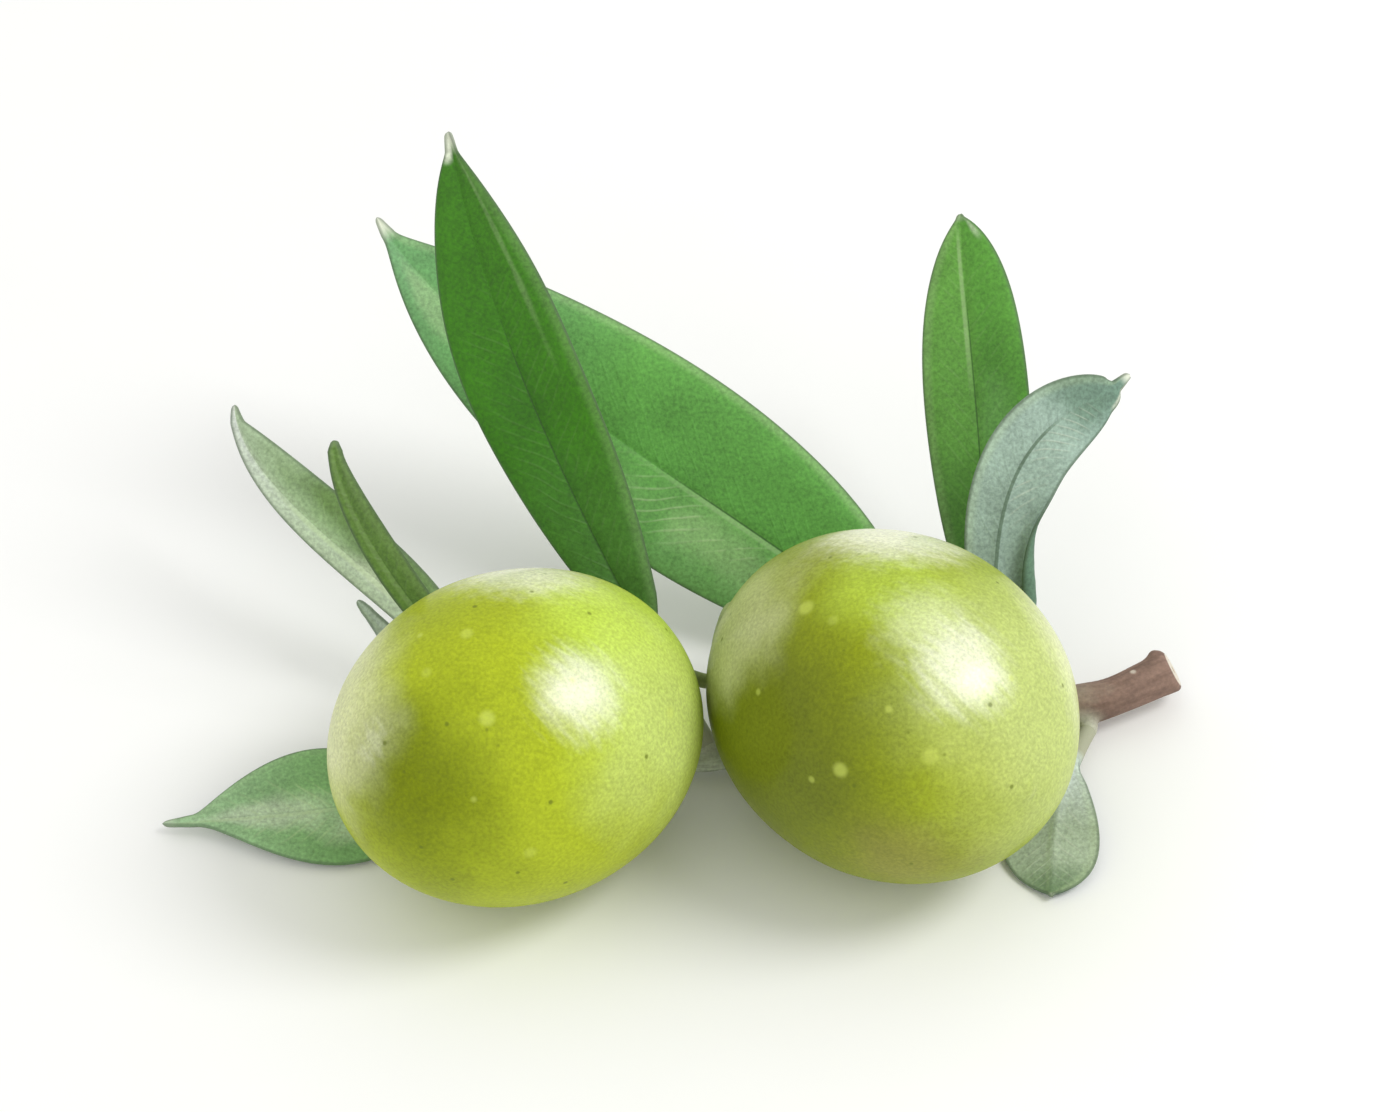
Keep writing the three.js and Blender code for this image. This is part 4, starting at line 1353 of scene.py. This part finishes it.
def twig_skin(settings):
    """Tapering stem with swollen nodes and a cushion under every leaf, in furrowed bark."""
    path = twig_path()
    growths = twig_growths()
    nodes = [path.nearest(at) for at, _direction, _radius in growths]

    def radius_at(share):
        plain = lerp(TWIG_TIP_RADIUS, TWIG_CUT_RADIUS, (1 - share) ** TWIG_TAPER)
        near = [math.exp(-((share - node) * path.length / NODE_SWELLING_LENGTH) ** 2) for node in nodes]
        return plain * (1 + NODE_SWELLING * max(near))

    skin = bmesh.new()
    add_tube(skin, path, radius_at, TWIG_STEPS)
    spare = path.direction(0) * CUT_SPARE
    end_piece = Path(bezier([path.at(0) - spare, path.at(0) + spare]))
    add_tube(skin, end_piece, lambda _share: radius_at(0), SPARE_STEPS)
    for (at, direction, radius), node in zip(growths, nodes):
        root = path.at(node)
        end = at - direction * CUSHION_GAP
        bend = end - direction * ((end - root).length / 2)
        cushion = Path(bezier([root, bend, end]))
        flare = (radius * CUSHION_ROOT_FLARE, radius * CUSHION_TOP_FLARE)
        add_tube(
            skin, cushion, lambda share, flare=flare: lerp(*flare, share), CUSHION_STEPS, CUSHION_SIDES
        )
    skin = joined_skin(skin, TWIG_VOXEL)
    cut_twig(skin, path)

    stem = skin.verts.layers.float_vector.new("stem")
    growth = skin.verts.layers.float_vector.new("growth")
    tree = KDTree(len(path.points))
    for i, point in enumerate(path.points):
        tree.insert(point, i)
    tree.balance()
    relief = settings.bark_relief / MM
    burr = path.at(0) + BURR_OFFSET
    moves = []
    for vert in skin.verts:
        _point, i, _distance = tree.find(vert.co)
        share = i / path.STEPS
        outward = vert.co - path.at(share)
        side = path.side(share)
        angle = math.atan2(outward.dot(path.direction(share).cross(side)), outward.dot(side))
        run = share * path.length
        around = Vector((math.cos(angle), math.sin(angle), 0)) * FURROW_RING
        depth = -sum(
            strength * noise.noise(around * closeness + Vector((0, 0, run * along)))
            for closeness, along, strength in FURROWS
        )
        depth = clamp(depth)
        vert[stem] = (math.cos(angle), math.sin(angle), run)
        near = min((vert.co - at).length for at, _direction, _radius in growths[:-1])
        vert[growth] = (smoothstep(near, GROWTH_REACH, GROWTH_CORE), depth, 0)
        strength = relief * smoothstep(share, *FURROW_FADE_AT_TIP)
        strength *= smoothstep(run, *FURROW_FADE_AT_CUT)
        swell = BURR_HEIGHT * math.exp(-(((vert.co - burr).length / BURR_RADIUS) ** 2))
        moves.append(vert.normal * (swell - strength * depth))
    for vert, move in zip(skin.verts, moves):
        vert.co += move
        vert.co.z = max(vert.co.z, 0.0)
    return skin


def add_calyx(skin, floor, axis):
    """A small dry saucer with four lobes between a stalk and its olive."""
    side = axis.orthogonal().normalized()
    other = axis.cross(side)

    def shape(turn, share, _vert):
        angle = 2 * math.pi * turn
        profile = math.pi * (share - 0.5)
        lobes = 1 + CALYX_LOBE_DEPTH * math.cos(CALYX_LOBES * angle)
        radius = CALYX_RADIUS * lobes * math.cos(profile)
        lift = CALYX_THICKNESS * math.sin(profile) + CALYX_CUPPING * (radius / CALYX_RADIUS) ** 2
        outward = side * math.cos(angle) + other * math.sin(angle)
        return floor + outward * radius + axis * lift

    wrapped_grid(skin, CALYX_SIDES, CALYX_RINGS, shape)


def stalk_skin():
    """Forked green stalk, with a calyx at each olive."""
    root = placed(STALK_ROOT)
    fork = placed(STALK_FORK)
    stem = Path(bezier([root - (fork - root).normalized() * STALK_ROOT_DEPTH, fork]))
    skin = bmesh.new()
    add_tube(skin, stem, lambda share: lerp(STALK_RADIUS, BRANCH_RADIUS, share), STEM_STEPS)

    def branch_radius(share):
        return lerp(BRANCH_RADIUS, BRANCH_END_RADIUS, smoothstep(share, BRANCH_FLARE_START, 1))

    floors = []
    for node, fruit in FRUIT.items():
        axis = Vector(fruit["to_stalk"]).normalized()
        to_floor = fruit["diameter"] / 2 * FRUIT_SLENDERNESS - STALK_HOLLOW_DEPTH
        floor = placed(fruit["centre"]) + axis * to_floor
        floors.append((floor, axis))
        start = fork - Vector((0, 0, BRANCH_ROOT_DEPTH))
        guides = [placed(point) for point in BRANCH_GUIDES[node]]
        branch = through([start, *guides, floor + axis * BRANCH_STRAIGHT_RUN, floor])
        add_tube(skin, branch, branch_radius, BRANCH_STEPS)
        add_calyx(skin, floor + axis * CALYX_LIFT, axis)
    skin = joined_skin(skin, STALK_VOXEL)
    dryness = skin.verts.layers.float_vector.new("stem")
    for vert in skin.verts:
        offs = [(vert.co - floor, axis) for floor, axis in floors]
        near = min(abs(off.dot(axis)) + DRY_ROUNDING * off.length for off, axis in offs)
        vert[dryness] = (smoothstep(near, *DRY_ZONE), 0, 0)
    return skin


class SPRIG_OT_twig(bpy.types.Operator):
    """Build the twig"""

    bl_idname = "sprig.twig"
    bl_label = "Twig"

    def execute(self, context):
        settings = context.scene.sprig_twig
        finish_piece("twig_stem", twig_skin(settings), twig_material(settings), "twig", "bark")
        return {"FINISHED"}


class SPRIG_OT_stalk(bpy.types.Operator):
    """Build the forked fruit stalk"""

    bl_idname = "sprig.stalk"
    bl_label = "Fruit Stalk"

    def execute(self, context):
        settings = context.scene.sprig_twig
        material = stalk_material(settings)
        finish_piece("forked_stalk", stalk_skin(), material, "fruit_stalk", "green_stalk")
        return {"FINISHED"}


# ---- Stage --------------------------------------------------------------------------------

def aimed(location, target, roll=0.0):
    """A matrix that stands at one point and looks at another, rolled about its line of sight."""
    turn = (target - location).to_track_quat("-Z", "Y")
    return Matrix.LocRotScale(location, turn, None) @ Matrix.Rotation(roll, 4, "Z")


def add_softbox(name, direction, distance, size, power, roll=0.0):
    lamp = bpy.data.lights.new(name, "AREA")
    lamp.shape = "ELLIPSE"
    lamp.size = size[0] * MM
    lamp.size_y = size[1] * MM
    lamp.energy = power
    light = bpy.data.objects.new(name, lamp)
    bpy.context.scene.collection.objects.link(light)
    target = CAMERA_TARGET * MM
    light.matrix_world = aimed(target + direction.normalized() * distance * MM, target, roll)


class SPRIG_OT_stage(bpy.types.Operator):
    """Set up the pale table, the soft light and the camera"""

    bl_idname = "sprig.stage"
    bl_label = "Stage"

    def execute(self, context):
        settings = context.scene.sprig_stage
        scene = context.scene
        surface = bmesh.new()
        bmesh.ops.create_grid(surface, x_segments=1, y_segments=1, size=FLOOR_HALF_SIZE * MM)
        mesh = bpy.data.meshes.new("table_top")
        surface.to_mesh(mesh)
        surface.free()
        material, nodes, shader = new_material("table_top")
        tone = nodes.noise(nodes.object_place(), FLOOR_CLOUD_SCALE, 3)
        pale = tuple(settings.floor)
        paper = nodes.mix(nodes.span(tone, 0.3, 0.7), pale, scaled(pale, FLOOR_TINT))
        nodes.feed(shader.inputs["Base Color"], paper)
        shader.inputs["Roughness"].default_value = 0.85
        shader.inputs["Specular IOR Level"].default_value = 0.1
        mesh.materials.append(material)
        floor = bpy.data.objects.new("table_top", mesh)
        scene.collection.objects.link(floor)

        world = bpy.data.worlds.new("Studio")
        scene.world = world
        world.use_nodes = True
        background = world.node_tree.nodes["Background"]
        background.inputs["Color"].default_value = (1, 1, 1, 1)
        background.inputs["Strength"].default_value = settings.sky
        add_softbox("Key", KEY_DIRECTION, KEY_DISTANCE, KEY_SIZE, settings.key, KEY_ROLL)
        add_softbox("Fill", FILL_DIRECTION, FILL_DISTANCE, FILL_SIZE, settings.fill)

        camera_data = bpy.data.cameras.new("Camera")
        camera_data.lens = CAMERA_LENS
        camera_data.sensor_width = CAMERA_SENSOR
        camera_data.clip_start = CLIP_START * MM
        camera_data.clip_end = CLIP_END * MM
        camera = bpy.data.objects.new("Camera", camera_data)
        scene.collection.objects.link(camera)
        back = Vector((0, -math.cos(CAMERA_ELEVATION), math.sin(CAMERA_ELEVATION)))
        target = CAMERA_TARGET * MM
        camera.matrix_world = aimed(target + back * CAMERA_DISTANCE * MM, target)
        scene.camera = camera
        scene.view_settings.view_transform = "Standard"
        return {"FINISHED"}


# ---- Sidebar ------------------------------------------------------------------------------

class SPRIG_PT_panel(bpy.types.Panel):
    """Lists the pieces of the sprig and their settings."""

    bl_idname = "SPRIG_PT_panel"
    bl_label = "Olive Sprig"
    bl_space_type = "VIEW_3D"
    bl_region_type = "UI"
    bl_category = "Olive Sprig"

    def draw(self, context):
        for operator, group in STEPS:
            box = self.layout.box()
            box.operator(operator.bl_idname)
            if group is None:
                continue
            settings = getattr(context.scene, group)
            for name in settings.bl_rna.properties.keys():
                if name not in ("rna_type", "name"):
                    box.prop(settings, name)


STEPS = [
    (SPRIG_OT_stage, "sprig_stage"),
    (SPRIG_OT_twig, "sprig_twig"),
    (SPRIG_OT_stalk, None),
    (SPRIG_OT_olives, "sprig_fruit"),
    (SPRIG_OT_leaves, "sprig_leaves"),
]
SETTINGS = {
    "sprig_leaves": SprigLeafSettings,
    "sprig_fruit": SprigFruitSettings,
    "sprig_twig": SprigTwigSettings,
    "sprig_stage": SprigStageSettings,
}


def register():
    for name, group in SETTINGS.items():
        bpy.utils.register_class(group)
        setattr(bpy.types.Scene, name, PointerProperty(type=group))
    for operator, _group in STEPS:
        bpy.utils.register_class(operator)
    bpy.utils.register_class(SPRIG_PT_panel)


def unregister():
    bpy.utils.unregister_class(SPRIG_PT_panel)
    for operator, _group in reversed(STEPS):
        bpy.utils.unregister_class(operator)
    for name, group in SETTINGS.items():
        delattr(bpy.types.Scene, name)
        bpy.utils.unregister_class(group)


def main():
    register()
    bpy.ops.sprig.stage()
    bpy.ops.sprig.twig()
    bpy.ops.sprig.stalk()
    bpy.ops.sprig.olives()
    bpy.ops.sprig.leaves()
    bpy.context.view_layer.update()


if __name__ == "__main__":
    main()
